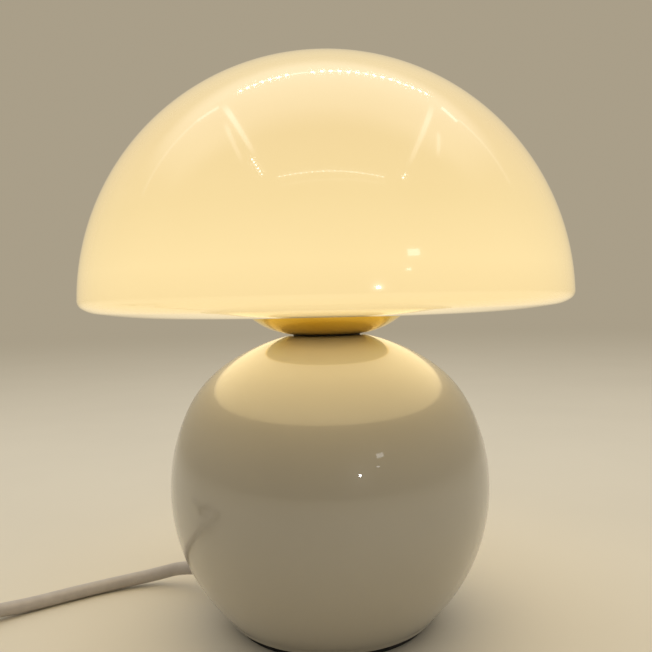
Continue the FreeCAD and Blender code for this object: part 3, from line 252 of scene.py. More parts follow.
def glazedCeramic():
    material = newMaterial("glazedCeramic", Coat_Weight=1.0, Coat_Roughness=0.012, Coat_IOR=1.55)
    varyColour(material, (0.40, 0.368, 0.302), (0.44, 0.408, 0.338), 9)
    varyRoughness(material, 0.25, 0.4, 30)
    addBump(material, 60, 0.06, 0.0004, coat=True)
    return material


def polishedBrass():
    material = newMaterial("polishedBrass", Metallic=1.0)
    varyColour(material, (0.94, 0.66, 0.10), (1.0, 0.73, 0.14), 40)
    varyRoughness(material, 0.08, 0.2, 90, stretch=(1, 1, 12))
    addBump(material, 30, 0.05, 0.0002, stretch=(1, 1, 40))
    return material


def plainMaterial(name, first, second, rough, bumpScale, bumpStrength, metallic=0.0, coat=0.0):
    material = newMaterial(name, Metallic=metallic, Coat_Weight=coat, Coat_Roughness=0.06)
    varyColour(material, first, second, bumpScale / 4)
    varyRoughness(material, rough[0], rough[1], bumpScale / 2)
    addBump(material, bumpScale, bumpStrength, 0.0003)
    return material


finishes = {
    "opal_glass": opalGlass(glassGlow),
    "glazed_ceramic": glazedCeramic(),
    "polished_brass": polishedBrass(),
    "black_rubber": plainMaterial(
        "blackRubber", (0.012, 0.012, 0.012), (0.02, 0.02, 0.02), (0.45, 0.6), 900, 0.2),
    "black_foam": plainMaterial(
        "blackFoam", (0.012, 0.012, 0.012), (0.03, 0.03, 0.03), (0.7, 0.9), 1500, 0.6),
    "zinc_steel": plainMaterial(
        "zincSteel", (0.5, 0.51, 0.52), (0.62, 0.63, 0.64), (0.22, 0.4), 500, 0.1, 1.0),
    "clear_silicone": plainMaterial(
        "milkySilicone", (0.62, 0.61, 0.57), (0.7, 0.69, 0.66), (0.35, 0.5), 500, 0.1),
    "holder_plastic": plainMaterial(
        "holderPlastic", (0.7, 0.675, 0.62), (0.725, 0.7, 0.645), (0.3, 0.42), 900, 0.12),
    "steatite": plainMaterial("steatite", (0.68, 0.64, 0.55), (0.76, 0.72, 0.63), (0.55, 0.7), 900, 0.3),
    "contact_brass": plainMaterial(
        "contactBrass", (0.62, 0.42, 0.15), (0.74, 0.52, 0.2), (0.2, 0.35), 600, 0.1, 1.0),
    "bulb_glass_black": plainMaterial(
        "blackInsulator", (0.01, 0.01, 0.012), (0.02, 0.02, 0.022), (0.1, 0.2), 300, 0.05),
    "nickel_shell": plainMaterial(
        "nickelShell", (0.6, 0.58, 0.54), (0.7, 0.68, 0.64), (0.12, 0.25), 400, 0.08, 1.0),
    "white_plastic": plainMaterial(
        "whitePlastic", (0.6, 0.575, 0.54), (0.65, 0.625, 0.59), (0.28, 0.4), 800, 0.12),
    "opal_plastic": plainMaterial(
        "opalPlastic", (0.8, 0.78, 0.7), (0.84, 0.82, 0.75), (0.3, 0.4), 500, 0.05),
    "board_aluminium": plainMaterial(
        "boardMask", (0.75, 0.75, 0.74), (0.8, 0.8, 0.79), (0.35, 0.5), 400, 0.1),
    "clamp_nylon": plainMaterial(
        "clampNylon", (0.66, 0.63, 0.55), (0.72, 0.69, 0.61), (0.4, 0.55), 600, 0.15),
    "white_cord": plainMaterial(
        "cordSheath", (0.47, 0.43, 0.405), (0.52, 0.48, 0.45), (0.32, 0.45), 700, 0.12),
    "brown_insulation": plainMaterial(
        "brownInsulation", (0.09, 0.03, 0.012), (0.12, 0.045, 0.02), (0.35, 0.5), 600, 0.1),
    "blue_insulation": plainMaterial(
        "blueInsulation", (0.02, 0.06, 0.28), (0.03, 0.08, 0.34), (0.35, 0.5), 600, 0.1),
    "black_tie": plainMaterial("blackTie", (0.01, 0.01, 0.01), (0.03, 0.03, 0.03), (0.8, 0.95), 2500, 0.8),
    "pin_sleeve_plastic": plainMaterial(
        "pinSleeve", (0.6, 0.59, 0.56), (0.66, 0.65, 0.62), (0.35, 0.5), 600, 0.1),
}
globeGlow = {"colour": (0.9, 0.7, 0.4, 1), "strength": 0.6}
shaderOf(finishes["opal_plastic"]).inputs["Emission Color"].default_value = globeGlow["colour"]
shaderOf(finishes["opal_plastic"]).inputs["Emission Strength"].default_value = globeGlow["strength"]

slotOf = {part["node"]: part["material_slot"] for part in frame["record"]["subparts"]}
for name, node in nodes.items():
    node.data.materials.clear()
    node.data.materials.append(finishes[slotOf[name]])
print("finishes made:", len(finishes))


# Glass shade: the dome turns through a corner and two ever gentler arcs into a flat underside

shadeShape = {
    "radius": 100, "wall": 3, "middle": 5.3, "cornerStart": 1.4, "corner": 3.9, "cornerEnd": 56,
    "turn": 12.5, "turnEnd": 80.4, "holeRadius": 29, "edge": 1,
}


def makeShade(shape):
    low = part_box("glass_shade")[0][2] / mm
    dome = (0, low + shape["middle"])
    start, cornerEnd, turnEnd = shape["cornerStart"], shape["cornerEnd"], shape["turnEnd"]
    lead = shape["radius"] - shape["corner"]
    corner = (lead * math.cos(math.radians(start)), dome[1] + lead * math.sin(math.radians(start)))
    lead = shape["turn"] - shape["corner"]
    turn = (corner[0] - lead * math.cos(math.radians(cornerEnd)),
            corner[1] + lead * math.sin(math.radians(cornerEnd)))
    sine = math.sin(math.radians(turnEnd))
    under = (turn[1] - low - shape["turn"] * sine) / (1 - sine)
    flat = (turn[0] - (under - shape["turn"]) * math.cos(math.radians(turnEnd)), low + under)
    wall, edge = shape["wall"], shape["edge"]
    profile = arc((shape["holeRadius"] + edge, low + edge), edge, 180, 270, 5)
    profile += arc(flat, under, -90, -turnEnd, 8)
    profile += arc(turn, shape["turn"], -turnEnd, -cornerEnd, 6)[1:]
    profile += arc(corner, shape["corner"], -cornerEnd, start, 9)[1:]
    profile += arc(dome, shape["radius"], start, 90, 72)[1:]
    profile += arc(dome, shape["radius"] - wall, 90, start, 48)
    profile += arc(corner, shape["corner"] - wall, start, -cornerEnd, 4)[1:]
    profile += arc(turn, shape["turn"] - wall, -cornerEnd, -turnEnd, 4)[1:]
    profile += arc(flat, under - wall, -turnEnd, -90, 8)[1:]
    profile += arc((shape["holeRadius"] + edge, low + wall - edge), edge, 90, 180, 5)
    return lathe("glassShade", profile, 192)


finish(makeShade(shadeShape), finishes["opal_glass"], "shade", "opal_glass", "glass_shade")


# Ceramic ball: belly, shoulder and crown run into one another

ballShape = {
    "radius": 66.7, "equator": 57.5, "belly": 74, "sweep": 25.2, "shoulder": 47, "crown": 76, "land": 16.5,
    "wall": 5.5, "footEdge": 1.5, "plateRadius": 40.3, "plateTop": 4.2, "recess": 38, "recessTop": 49,
    "recessStraight": 16, "floor": 24, "floorTop": 29, "hole": 5.5, "landEdge": 0.8,
    "footTurn": -25,
}


def makeBall(shape):
    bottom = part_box("base_ball")[0][2] / mm
    bellyX = shape["radius"] - shape["belly"]
    sweep = math.radians(shape["sweep"])
    lead = shape["belly"] - shape["shoulder"]
    shoulder = (bellyX + lead * math.cos(sweep), shape["equator"] + lead * math.sin(sweep))
    drop = shape["crown"] - shape["shoulder"]
    turn = math.acos(shoulder[0] / drop)
    crown = (0, shoulder[1] - drop * math.sin(turn))
    belly = (bellyX, shape["equator"])
    footTop = bottom + shape["footEdge"]
    start = math.degrees(math.asin((footTop - shape["equator"]) / shape["belly"]))
    footX = bellyX + shape["belly"] * math.cos(math.radians(start))
    landAngle = math.degrees(math.acos(shape["land"] / shape["crown"]))
    sweepAngle, turnAngle = shape["sweep"], math.degrees(turn)
    wall = shape["wall"]
    innerStart = math.degrees(math.asin((shape["floorTop"] - shape["equator"]) / (shape["belly"] - wall)))
    innerEnd = math.degrees(math.acos(shape["hole"] / (shape["crown"] - wall)))
    landHeight = crown[1] + math.sqrt(shape["crown"] ** 2 - shape["land"] ** 2)
    profile = [(shape["plateRadius"], bottom)]
    profile += arc((footX - shape["footEdge"], footTop), shape["footEdge"], -90, shape["footTurn"], 5)
    profile += arc(belly, shape["belly"], start, sweepAngle, 60)
    profile += arc(shoulder, shape["shoulder"], sweepAngle, turnAngle, 22)[1:]
    profile += arc(crown, shape["crown"], turnAngle, landAngle, 20)[1:]
    profile += [(shape["land"] - shape["landEdge"], landHeight), (shape["hole"], landHeight)]
    profile += arc(crown, shape["crown"] - wall, innerEnd, turnAngle, 12)
    profile += arc(shoulder, shape["shoulder"] - wall, turnAngle, sweepAngle, 8)[1:]
    profile += arc(belly, shape["belly"] - wall, sweepAngle, innerStart, 20)[1:]
    profile += [(shape["hole"], shape["floorTop"]), (shape["hole"], shape["floor"])]
    profile += [(shape["recessTop"], shape["floor"]), (shape["recess"], shape["recessStraight"])]
    profile += [(shape["recess"], shape["plateTop"]), (shape["plateRadius"], shape["plateTop"])]
    return lathe("ceramicBall", profile, 192)


finish(makeBall(ballShape), finishes["glazed_ceramic"], "base", "glazed_ceramic", "base_ball")


# Brass cup: a shallow spun bowl with a fine rim

cupShape = {
    "bowl": 32, "offset": 11.5, "rim": 32.7, "wall": 1, "bore": 5,
    "lip": 0.3, "lipStart": 0.2, "lipEnd": 1.2,
}


def makeCup(shape):
    low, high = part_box("shade_cup")
    bottom, top = low[2] / mm, high[2] / mm
    centre = (shape["offset"], top + math.sqrt(shape["bowl"] ** 2 - (shape["rim"] - shape["offset"]) ** 2))
    inner = shape["bowl"] - shape["wall"]
    lip = top - shape["lip"]

    def slope(height, radius):
        return -90 + math.degrees(math.acos((centre[1] - height) / radius))

    profile = [(shape["bore"], bottom)]
    profile += arc(centre, shape["bowl"], slope(bottom, shape["bowl"]), slope(lip, shape["bowl"]), 24)
    profile += [(shape["rim"] - shape["lipStart"], top), (shape["rim"] - shape["lipEnd"], top)]
    profile += arc(centre, inner, slope(lip, inner), slope(bottom + shape["wall"], inner), 20)
    profile += [(shape["bore"], bottom + shape["wall"])]
    return lathe("brassCup", profile, 160)


finish(makeCup(cupShape), finishes["polished_brass"], "base", "polished_brass", "shade_cup")
print("shade, ball and cup made")


# Shaping helpers for the small moulded parts

def roundedOutline(length, width, corner, steps=6):
    outline = []
    for quarter, (x, y) in enumerate([(1, 1), (-1, 1), (-1, -1), (1, -1)]):
        centre = (x * (length / 2 - corner), y * (width / 2 - corner))
        outline += arc(centre, corner, quarter * 90, quarter * 90 + 90, steps)
    return outline


def prism(name, outline, depth):  # the outline is (x, z) in millimetres, the depth runs along Y
    deselectAll()
    points = [(x * mm, z * mm) for x, z in outline]
    points.append(points[0])
    bpy.ops.mesh.primitive_plane_add(size=mm, location=(points[0][0], -depth / 2 * mm, points[0][1]))
    piece = bpy.context.active_object
    piece.name = name
    bpy.ops.object.transform_apply(location=True, rotation=True, scale=True)
    bpy.ops.object.mode_set(mode="EDIT")
    bpy.ops.mesh.select_all(action="SELECT")
    bpy.ops.mesh.merge(type="CENTER")
    for start, end in zip(points, points[1:]):
        step = (end[0] - start[0], 0, end[1] - start[1])
        bpy.ops.mesh.extrude_region_move(TRANSFORM_OT_translate={"value": step})
    bpy.ops.mesh.select_all(action="SELECT")
    bpy.ops.mesh.remove_doubles(threshold=mergeReach * mm)
    bpy.ops.mesh.edge_face_add()
    bpy.ops.mesh.extrude_region_move(TRANSFORM_OT_translate={"value": (0, depth * mm, 0)})
    bpy.ops.mesh.select_all(action="SELECT")
    bpy.ops.mesh.normals_make_consistent(inside=False)
    bpy.ops.object.mode_set(mode="OBJECT")
    return piece


def settle(piece, place, turn=(0, 0, 0)):
    activate(piece)
    piece.rotation_euler = [math.radians(value) for value in turn]
    piece.location = [value * mm for value in place]
    bpy.ops.object.transform_apply(location=True, rotation=True, scale=True)
    return piece


def soften(piece, width, segments, angle=30):
    activate(piece)
    edge = piece.modifiers.new("softEdge", "BEVEL")
    edge.width = width * mm
    edge.segments = segments
    edge.limit_method = "ANGLE"
    edge.angle_limit = math.radians(angle)
    bpy.ops.object.modifier_apply(modifier=edge.name)
    bpy.ops.object.shade_smooth_by_angle(angle=math.radians(prismCrease))
    return piece


def bevelRim(piece, height, width, segments):  # rounds the edges that lie at one height
    activate(piece)
    bpy.ops.object.mode_set(mode="EDIT")
    bpy.ops.mesh.select_mode(type="EDGE")
    bpy.ops.mesh.select_all(action="DESELECT")
    bpy.ops.object.mode_set(mode="OBJECT")
    for edge in piece.data.edges:
        heights = [piece.data.vertices[end].co.z / mm for end in edge.vertices]
        edge.select = all(abs(end - height) < levelWithin for end in heights)
    bpy.ops.object.mode_set(mode="EDIT")
    bpy.ops.mesh.bevel(offset=width * mm, segments=segments, affect="EDGES")
    bpy.ops.mesh.select_mode(type="VERT")
    bpy.ops.object.mode_set(mode="OBJECT")
    return piece


def combine(piece, tool, operation):
    activate(piece)
    join = piece.modifiers.new("combine", "BOOLEAN")
    join.operation = operation
    join.solver = "EXACT"
    join.object = tool
    bpy.ops.object.modifier_apply(modifier=join.name)
    bpy.data.objects.remove(tool)


def copyOf(piece):
    twin = piece.copy()
    twin.data = piece.data.copy()
    bpy.context.scene.collection.objects.link(twin)
    return twin


def joinInto(piece, others):
    activate(piece)
    for other in others:
        other.select_set(True)
    bpy.ops.object.join()
    bpy.ops.object.shade_smooth_by_angle(angle=math.radians(prismCrease))
    return piece


# Black gasket between cup and ball, and the foam pad under the ball

gasketShape = {"radius": 14.2, "bore": 5, "edge": 0.22}
padShape = {
    "radius": 41, "edge": 0.7, "groove": 34, "grooveWidth": 4, "grooveDepth": 0.5, "seam": 0.25,
    "grooveSlope": 0.4, "seamHalf": 0.3,
}


def makeGasket(shape):
    low, high = (corner[2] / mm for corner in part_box("top_gasket"))
    reach = shape["radius"] - shape["edge"]
    profile = [(shape["bore"], low), (reach, low)]
    profile += arc((reach, low + shape["edge"]), shape["edge"], -90, 0, 4)[1:]
    profile += arc((reach, high - shape["edge"]), shape["edge"], 0, 90, 4)
    profile += [(shape["bore"], high)]
    return lathe("cupGasket", profile, 128)


def makePad(shape):
    low, high = (corner[2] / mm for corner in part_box("foot_pad"))
    reach = shape["radius"] - shape["edge"]
    middle = (low + high) / 2
    inside = shape["groove"] - shape["grooveWidth"]
    roof = low + shape["grooveDepth"]
    profile = [(0, low), (inside, low), (inside + shape["grooveSlope"], roof)]
    profile += [(shape["groove"] - shape["grooveSlope"], roof), (shape["groove"], low), (reach, low)]
    profile += arc((reach, low + shape["edge"]), shape["edge"], -90, 0, 4)[1:]
    profile += [(shape["radius"], middle - shape["seamHalf"]), (shape["radius"] - shape["seam"], middle)]
    profile += [(shape["radius"], middle + shape["seamHalf"])]
    profile += arc((reach, high - shape["edge"]), shape["edge"], 0, 90, 4) + [(0, high)]
    return lathe("footPad", profile, 128, closed=False)


finish(makeGasket(gasketShape), finishes["black_rubber"], "base", "black_rubber", "top_gasket")
finish(makePad(padShape), finishes["black_foam"], "base", "black_foam", "foot_pad")


# Ribbed strain reliefs, turned along their own cord

ballRelief = {
    "bore": 3.3, "collar": 5.6, "collarStart": 34.885, "collarEnd": 37.385, "neck": 4.8, "start": 49.8,
    "length": 20.5, "wide": 4.75, "narrow": 3.9, "ribs": 6, "groove": 0.55, "height": 10, "heading": 155,
}
switchRelief = {"bore": 3.3, "inside": 8, "length": 12, "wide": 4.6, "narrow": 3.8, "ribs": 4, "groove": 0.5}

# Half a groove as shares of one rib's step, and how far its shoulder lies inside the rib, in millimetres
ribForm = {"edge": 0.32, "shoulder": 0.2, "floor": 0.12, "ease": 0.12}
tipRound = [(0, 0.6), (0.18, 0.18), (0.5, 0)]  # in from the tail's side and from its end


def ribbedTail(shape, start):  # (radius, distance) from where the relief leaves its housing
    step = shape["length"] / (shape["ribs"] + 0.5)
    tail = []
    for rib in range(shape["ribs"]):
        middle = start + (rib + 0.5) * step
        radius = shape["wide"] + (shape["narrow"] - shape["wide"]) * (middle - start) / shape["length"]
        cut = radius - shape["groove"]
        shoulder = radius - ribForm["ease"]
        half = [(radius, ribForm["edge"]), (shoulder, ribForm["shoulder"]), (cut, ribForm["floor"])]
        tail += [(across, middle - step * share) for across, share in half]
        tail += [(across, middle + step * share) for across, share in reversed(half)]
    end = start + shape["length"]
    tail += [(shape["narrow"] - side, end - back) for side, back in tipRound]
    return tail + [(shape["bore"], end)]


def makeBallRelief(shape):
    profile = [(shape["bore"], shape["collarStart"]), (shape["collar"], shape["collarStart"])]
    profile += [(shape["collar"], shape["collarEnd"]), (shape["neck"], shape["collarEnd"])]
    profile += [(shape["neck"], shape["start"])] + ribbedTail(shape, shape["start"])
    piece = lathe("strainRelief", profile, 64)
    return settle(piece, (0, 0, shape["height"]), (0, 90, shape["heading"]))


strainRelief = finish(makeBallRelief(ballRelief), finishes["white_plastic"], "base", "white_plastic",
                      "strain_relief")
print("gasket, pad and strain relief made")


# Inline switch: housing with a collar round the rocker and grip ridges at both ends

switchShape = {
    "middle": (-185.349, -36.098), "heading": 220, "length": 56,
    "width": 24, "corner": 9, "seam": 6.5, "top": 15.5,
    "rim": 2.6, "seamEdge": 0.4, "collar": (20.6, 15, 3), "collarRise": 0.6, "opening": (17, 11.4, 1.2),
    "seat": 4.7, "ridge": (1.1, 12), "ridgeRise": 0.45, "ridgesAt": (14.5, 17.2, 19.9),
    "collarRim": 0.45, "openingReach": (2, 20), "seatDepth": 9, "seatInset": 3.5,
    "ridgeHeight": 2, "ridgeRim": 0.3,
}
rockerShape = {
    "pinHeight": 12.7, "tilt": 12, "width": 10.6, "half": 7.6,
    "side": 0.5, "bottom": 3.5, "top": 3.2, "dish": 30.4,
    "bore": 1.1, "edge": 0.5, "markAt": 4.5,
}
markShape = {"line": (0.6, 3, 0.28), "from": -0.3, "to": 0.12, "ring": 1.35, "wire": 0.3, "flat": 0.4}


def atSwitch(piece, height, tilt=0):
    x, y = switchShape["middle"]
    return settle(piece, (x, y, height), (0, tilt, switchShape["heading"]))


def upright(name, outline, low, high, x=0, y=0):  # a prism that stands on the table
    return settle(prism(name, outline, high - low), (x, y, (low + high) / 2), (90, 0, 0))


def makeSwitchCover(shape):
    outline = roundedOutline(shape["length"], shape["width"], shape["corner"], 10)
    cover = upright("switchCover", outline, shape["seam"], shape["top"])
    bevelRim(cover, shape["top"], shape["rim"], 6)
    bevelRim(cover, shape["seam"], shape["seamEdge"], 1)
    collarTop = shape["top"] + shape["collarRise"]
    collar = upright("collar", roundedOutline(*shape["collar"]), shape["top"] - 2, collarTop)
    bevelRim(collar, collarTop, shape["collarRim"], 3)
    combine(cover, collar, "UNION")
    opening = upright("opening", roundedOutline(*shape["opening"]), *shape["openingReach"])
    combine(cover, opening, "DIFFERENCE")
    seatOutline = roundedOutline(2 * shape["seat"], 2 * shape["seat"], shape["seat"], 10)
    for side in (1, -1):
        seat = prism("seat", seatOutline, shape["seatDepth"])
        settle(seat, (side * (shape["length"] / 2 - shape["seatInset"]), 0, shape["seam"]), (0, 0, 90))
        combine(cover, seat, "DIFFERENCE")
    width, length = shape["ridge"]
    first = upright("ridge", roundedOutline(width, length, width / 2 - flatLeft), 0, shape["ridgeHeight"])
    bevelRim(first, shape["ridgeHeight"], shape["ridgeRim"], 2)
    rise = shape["top"] + shape["ridgeRise"] - shape["ridgeHeight"]
    ridges = []
    for side in (1, -1):
        for along in shape["ridgesAt"]:
            ridge = copyOf(first)
            ridges.append(settle(ridge, (side * along, 0, rise)))
    bpy.data.objects.remove(first)
    joinInto(cover, ridges)
    return atSwitch(cover, 0)


def makeRocker(shape):
    rise = math.sqrt(shape["dish"] ** 2 - shape["half"] ** 2)
    turn = math.degrees(math.atan2(shape["half"], rise))
    outline = [(shape["side"] - shape["half"], -shape["side"])]
    outline += [(0, -shape["bottom"]), (shape["half"] - shape["side"], -shape["side"])]
    outline += arc((0, shape["top"] + rise), shape["dish"], -90 + turn, -90 - turn, 14)
    rocker = soften(prism("switchRocker", outline, shape["width"]), shape["edge"], 3, 40)
    bore = prism("bore", roundedOutline(2 * shape["bore"], 2 * shape["bore"], shape["bore"]),
                 shape["width"] + 4)
    combine(rocker, bore, "DIFFERENCE")
    return atSwitch(rocker, shape["pinHeight"], shape["tilt"])


def makeMarks(shape, marks):  # the usual line and ring
    rise = math.sqrt(shape["dish"] ** 2 - shape["half"] ** 2)
    height = shape["top"] + rise - math.sqrt(shape["dish"] ** 2 - shape["markAt"] ** 2)
    lean = math.degrees(math.asin(shape["markAt"] / shape["dish"]))
    line = upright("rockerMarks", roundedOutline(*marks["line"]), marks["from"], marks["to"])
    settle(line, (-shape["markAt"], 0, height), (0, lean, 0))
    deselectAll()
    bpy.ops.mesh.primitive_torus_add(major_radius=marks["ring"] * mm, minor_radius=marks["wire"] * mm,
                                     major_segments=40, minor_segments=10)
    ring = bpy.context.active_object
    ring.scale = (1, 1, marks["flat"])
    bpy.ops.object.transform_apply(location=True, rotation=True, scale=True)
    settle(ring, (shape["markAt"], 0, height), (0, -lean, 0))
    return atSwitch(joinInto(line, [ring]), shape["pinHeight"], shape["tilt"])


def makeSwitchReliefs(shape):
    profile = [(shape["bore"], 0), (shape["wide"], 0), (shape["wide"], shape["inside"])]
    first = lathe("switchReliefs", profile + ribbedTail(shape, shape["inside"]), 64)
    second = copyOf(first)
    reach = switchShape["length"] / 2 - shape["inside"]
    settle(first, (reach, 0, 0), (0, 90, 0))
    settle(second, (-reach, 0, 0), (0, -90, 0))
    return atSwitch(joinInto(first, [second]), switchShape["seam"])


switchCover = finish(makeSwitchCover(switchShape), finishes["white_plastic"], "base", "white_plastic",
                     "switch_cover")
finish(makeRocker(rockerShape), finishes["white_plastic"], "rocker", "white_plastic", "switch_rocker")
finish(makeMarks(rockerShape, markShape), finishes["black_rubber"], "rocker", "black_rubber")
switchReliefs = finish(makeSwitchReliefs(switchRelief), finishes["white_plastic"], "base", "white_plastic",
                       "switch_reliefs")
print("switch made")


# Flat plug with grip ridges and a ribbed tail

plugShape = {
    "place": (-311.2014, 4.5878, 7), "height": 14, "round": 3.2, "front": 30,
    "outline": [(4.4, -4), (11, 0), (12.5, 7), (12.5, 29), (11.8, 30),
                (-11.8, 30), (-12.5, 29), (-12.5, 7), (-11, 0), (-4.4, -4)],
    "ridge": (13, 1.2), "ridgeRise": 0.4, "ridgesAt": (4.5, 7.1, 9.7, 12.3, 14.9),
    "ridgeHeight": 1, "ridgeRim": 0.3,
}
plugTail = {"bore": 3.3, "length": 20, "wide": 4.6, "narrow": 3.8, "ribs": 6, "groove": 0.5}


def makePlug(shape, tailShape):
    body = prism("plugBody", [(x, -y) for x, y in shape["outline"]], shape["height"])
    settle(body, (0, 0, 0), (90, 0, 0))
    activate(body)
    bpy.ops.object.mode_set(mode="EDIT")
    bpy.ops.mesh.select_mode(type="EDGE")
    bpy.ops.mesh.select_all(action="DESELECT")
    bpy.ops.object.mode_set(mode="OBJECT")
    for edge in body.data.edges:
        ends = [body.data.vertices[end].co / mm for end in edge.vertices]
        level = all(abs(abs(end.z) - shape["height"] / 2) < levelWithin for end in ends)
        level = level and ends[0].z * ends[1].z > 0
        edge.select = level and not all(end.y > shape["front"] - levelWithin for end in ends)
    bpy.ops.object.mode_set(mode="EDIT")
    bpy.ops.mesh.bevel(offset=shape["round"] * mm, segments=6, affect="EDGES")
    bpy.ops.mesh.select_mode(type="VERT")
    bpy.ops.object.mode_set(mode="OBJECT")
    tail = lathe("tail", [(tailShape["bore"], 0), (tailShape["wide"], 0)] + ribbedTail(tailShape, 0), 64)
    settle(tail, (0, 0, 0), (90, 0, 0))
    length, width = shape["ridge"]
    first = upright("ridge", roundedOutline(length, width, width / 2 - flatLeft), 0, shape["ridgeHeight"])
    bevelRim(first, shape["ridgeHeight"], shape["ridgeRim"], 2)
    extras = [tail]
    rise = shape["height"] / 2 + shape["ridgeRise"] - shape["ridgeHeight"]
    for along in shape["ridgesAt"]:
        extras.append(settle(copyOf(first), (0, along, rise)))
    bpy.data.objects.remove(first)
    return settle(joinInto(body, extras), shape["place"])


plugBody = finish(makePlug(plugShape, plugTail), finishes["white_plastic"], "base", "white_plastic",
                  "plug_body")


# Hook-and-loop tie round the coil, its end lapped over the top

tieShape = {
    "centre": (-266.3014, -45.4122), "azimuth": 60, "sweep": 20, "inside": 19.7, "outside": 47.9, "low": 0.65,
    "high": 12.75, "corner": 2.8, "away": 0.3, "thickness": 0.48, "lap": 0.62, "lapEnd": 27,
    "tailAngle": 345, "lapStart": 1.6, "tip": 0.8, "tipDrop": 0.25,
}


def makeTie(shape):
    away, corner = shape["away"], shape["corner"]
    inside, outside = shape["inside"] + corner, shape["outside"] - corner
    low, high = shape["low"] + corner, shape["high"] - corner
    lapped = corner + away + shape["lap"]
    profile = [(outside + corner + away, (low + high) / 2)]
    profile += arc((outside, high), corner + away, 0, 90, 6)
    profile += arc((inside, high), corner + away, 90, 180, 6)
    profile += arc((inside, low), corner + away, 180, 270, 6)
    profile += arc((outside, low), corner + away, 270, shape["tailAngle"], 5)
    profile += [(outside + lapped, low + shape["lapStart"])] + arc((outside, high), lapped, 0, 90, 6)
    profile.append((shape["lapEnd"] + shape["tip"], high + lapped))
    profile.append((shape["lapEnd"], high + lapped - shape["tipDrop"]))
    tie = lathe("coilTie", profile, 10, closed=False, angle=shape["sweep"])
    settle(tie, (*shape["centre"], 0), (0, 0, shape["azimuth"]))
    activate(tie)
    wall = tie.modifiers.new("thickness", "SOLIDIFY")
    wall.thickness = shape["thickness"] * mm
    wall.offset = 0
    bpy.ops.object.modifier_apply(modifier=wall.name)
    return tie


coilTie = finish(makeTie(tieShape), finishes["black_tie"], "base", "black_tie", "coil_tie")
print("plug and tie made")


# Lampholder: cap with two fine grooves, and a skirt with upright grip ribs

holderShape = {
    "bore": 5, "cap": 19.5, "capWall": 2, "capFloor": 3,
    "skirt": 20.5, "skirtWall": 2.2, "joint": 19.6, "step": 4.2,
    "sleeve": 13.35, "sleeveWall": 1.65, "sleeveLength": 18, "ring": 2, "round": 1, "groove": 0.35,
    "capGrooves": (5.4, 6.6), "skirtGroove": 4.2, "chamfer": 0.3, "mouth": 0.5,
}
gripRibs = {
    "count": 44, "width": 1.3, "rise": 0.35, "from": 8, "to": 26,
    "thick": 1, "edge": 0.25,
}

grooveForm = {"lip": 0.35, "floor": 0.15}  # half its width at the surface and at its floor


def grooveAt(radius, height, depth):
    lip, floor = grooveForm["lip"], grooveForm["floor"]
    return [(radius, height - lip), (radius - depth, height - floor), (radius - depth, height + floor),
            (radius, height + lip)]


def makeHolderCap(shape):
    low, high = (corner[2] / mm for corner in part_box("holder_cap"))
    wall = shape["cap"] - shape["capWall"]
    profile = [(shape["bore"], low)] + arc((shape["cap"] - shape["round"], low + shape["round"]),
                                           shape["round"], -90, 0, 5)
    for rise in shape["capGrooves"]:
        profile += grooveAt(shape["cap"], low + rise, shape["groove"])
    profile += [(shape["cap"], high), (wall, high), (wall, low + shape["capFloor"])]
    profile += [(shape["bore"], low + shape["capFloor"])]
    return lathe("holderCap", profile, 128)


def makeHolderSkirt(shape, ribs):
    low, high = (corner[2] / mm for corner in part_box("holder_skirt"))
    outside, edge = shape["skirt"], shape["round"]
    sleeveOutside = shape["sleeve"] + shape["sleeveWall"]
    inside = outside - shape["skirtWall"]
    profile = [(shape["joint"], low), (outside - shape["chamfer"], low), (outside, low + shape["chamfer"])]
    for height in (low + shape["skirtGroove"], high - shape["skirtGroove"]):
        profile += grooveAt(outside, height, shape["groove"])
    profile += arc((outside - edge, high - edge), edge, 0, 90, 5)
    profile += [(shape["sleeve"] + shape["mouth"], high), (shape["sleeve"], high - shape["mouth"])]
    profile += [(shape["sleeve"], high - shape["sleeveLength"]),
                (sleeveOutside, high - shape["sleeveLength"])]
    profile += [(sleeveOutside, high - shape["ring"]), (inside, high - shape["ring"])]
    profile += [(inside, low + shape["step"]), (shape["joint"], low + shape["step"])]
    skirt = lathe("holderSkirt", profile, 128)
    length, width = ribs["to"] - ribs["from"], ribs["width"]
    first = prism("rib", roundedOutline(width, length, width / 2 - flatLeft, 3), ribs["thick"])
    soften(first, ribs["edge"], 2, 40)
    middle = low + (ribs["from"] + ribs["to"]) / 2
    settle(first, (0, outside - ribs["thick"] / 2 + ribs["rise"], middle))
    copies = []
    for index in range(ribs["count"]):
        copies.append(settle(copyOf(first), (0, 0, 0), (0, 0, 360 * index / ribs["count"])))
    bpy.data.objects.remove(first)
    return joinInto(skirt, copies)


finish(makeHolderCap(holderShape), finishes["holder_plastic"], "base", "holder_plastic", "holder_cap")
finish(makeHolderSkirt(holderShape, gripRibs), finishes["holder_plastic"], "base", "holder_plastic",
       "holder_skirt")
print("lampholder made")


# Cords: control points in millimetres, as the route lies on the table

cordSetup = {"diameter": 6, "mouth": (-63.7, 29.7, 10)}
lampRoute = [
    (-45.315, 21.131, 10), (-67.5, 31.5, 10), (-85.5, 35, 4.3), (-103, 28.5, 3.05), (-119, 18, 3.05),
    (-134, 7, 3.05), (-144.7, -2, 4.3), (-154.7, -10.4, 6.5), (-170.03, -23.24, 6.5),
]
coilSetup = {
    "centre": (-266.3014, -45.4122), "outer": 44.9, "inner": 22.7, "floor": 3.7, "layer": 6.05,
    "startAngle": 310, "turns": 7, "rest": 130, "pointsPerTurn": 18,
    "climbStart": 0.47, "climbLength": 0.06,
}
leadIn = [(-200.67, -48.95, 6.5), (-215.99, -61.81, 6.5), (-227.48, -71.46, 4.2)]
leadOut = [(-311.2, -35.0, 10.0), (-311.2, -26.4, 9.0), (-311.2, -18.4, 7.1), (-311.2, -3.4, 7.0)]


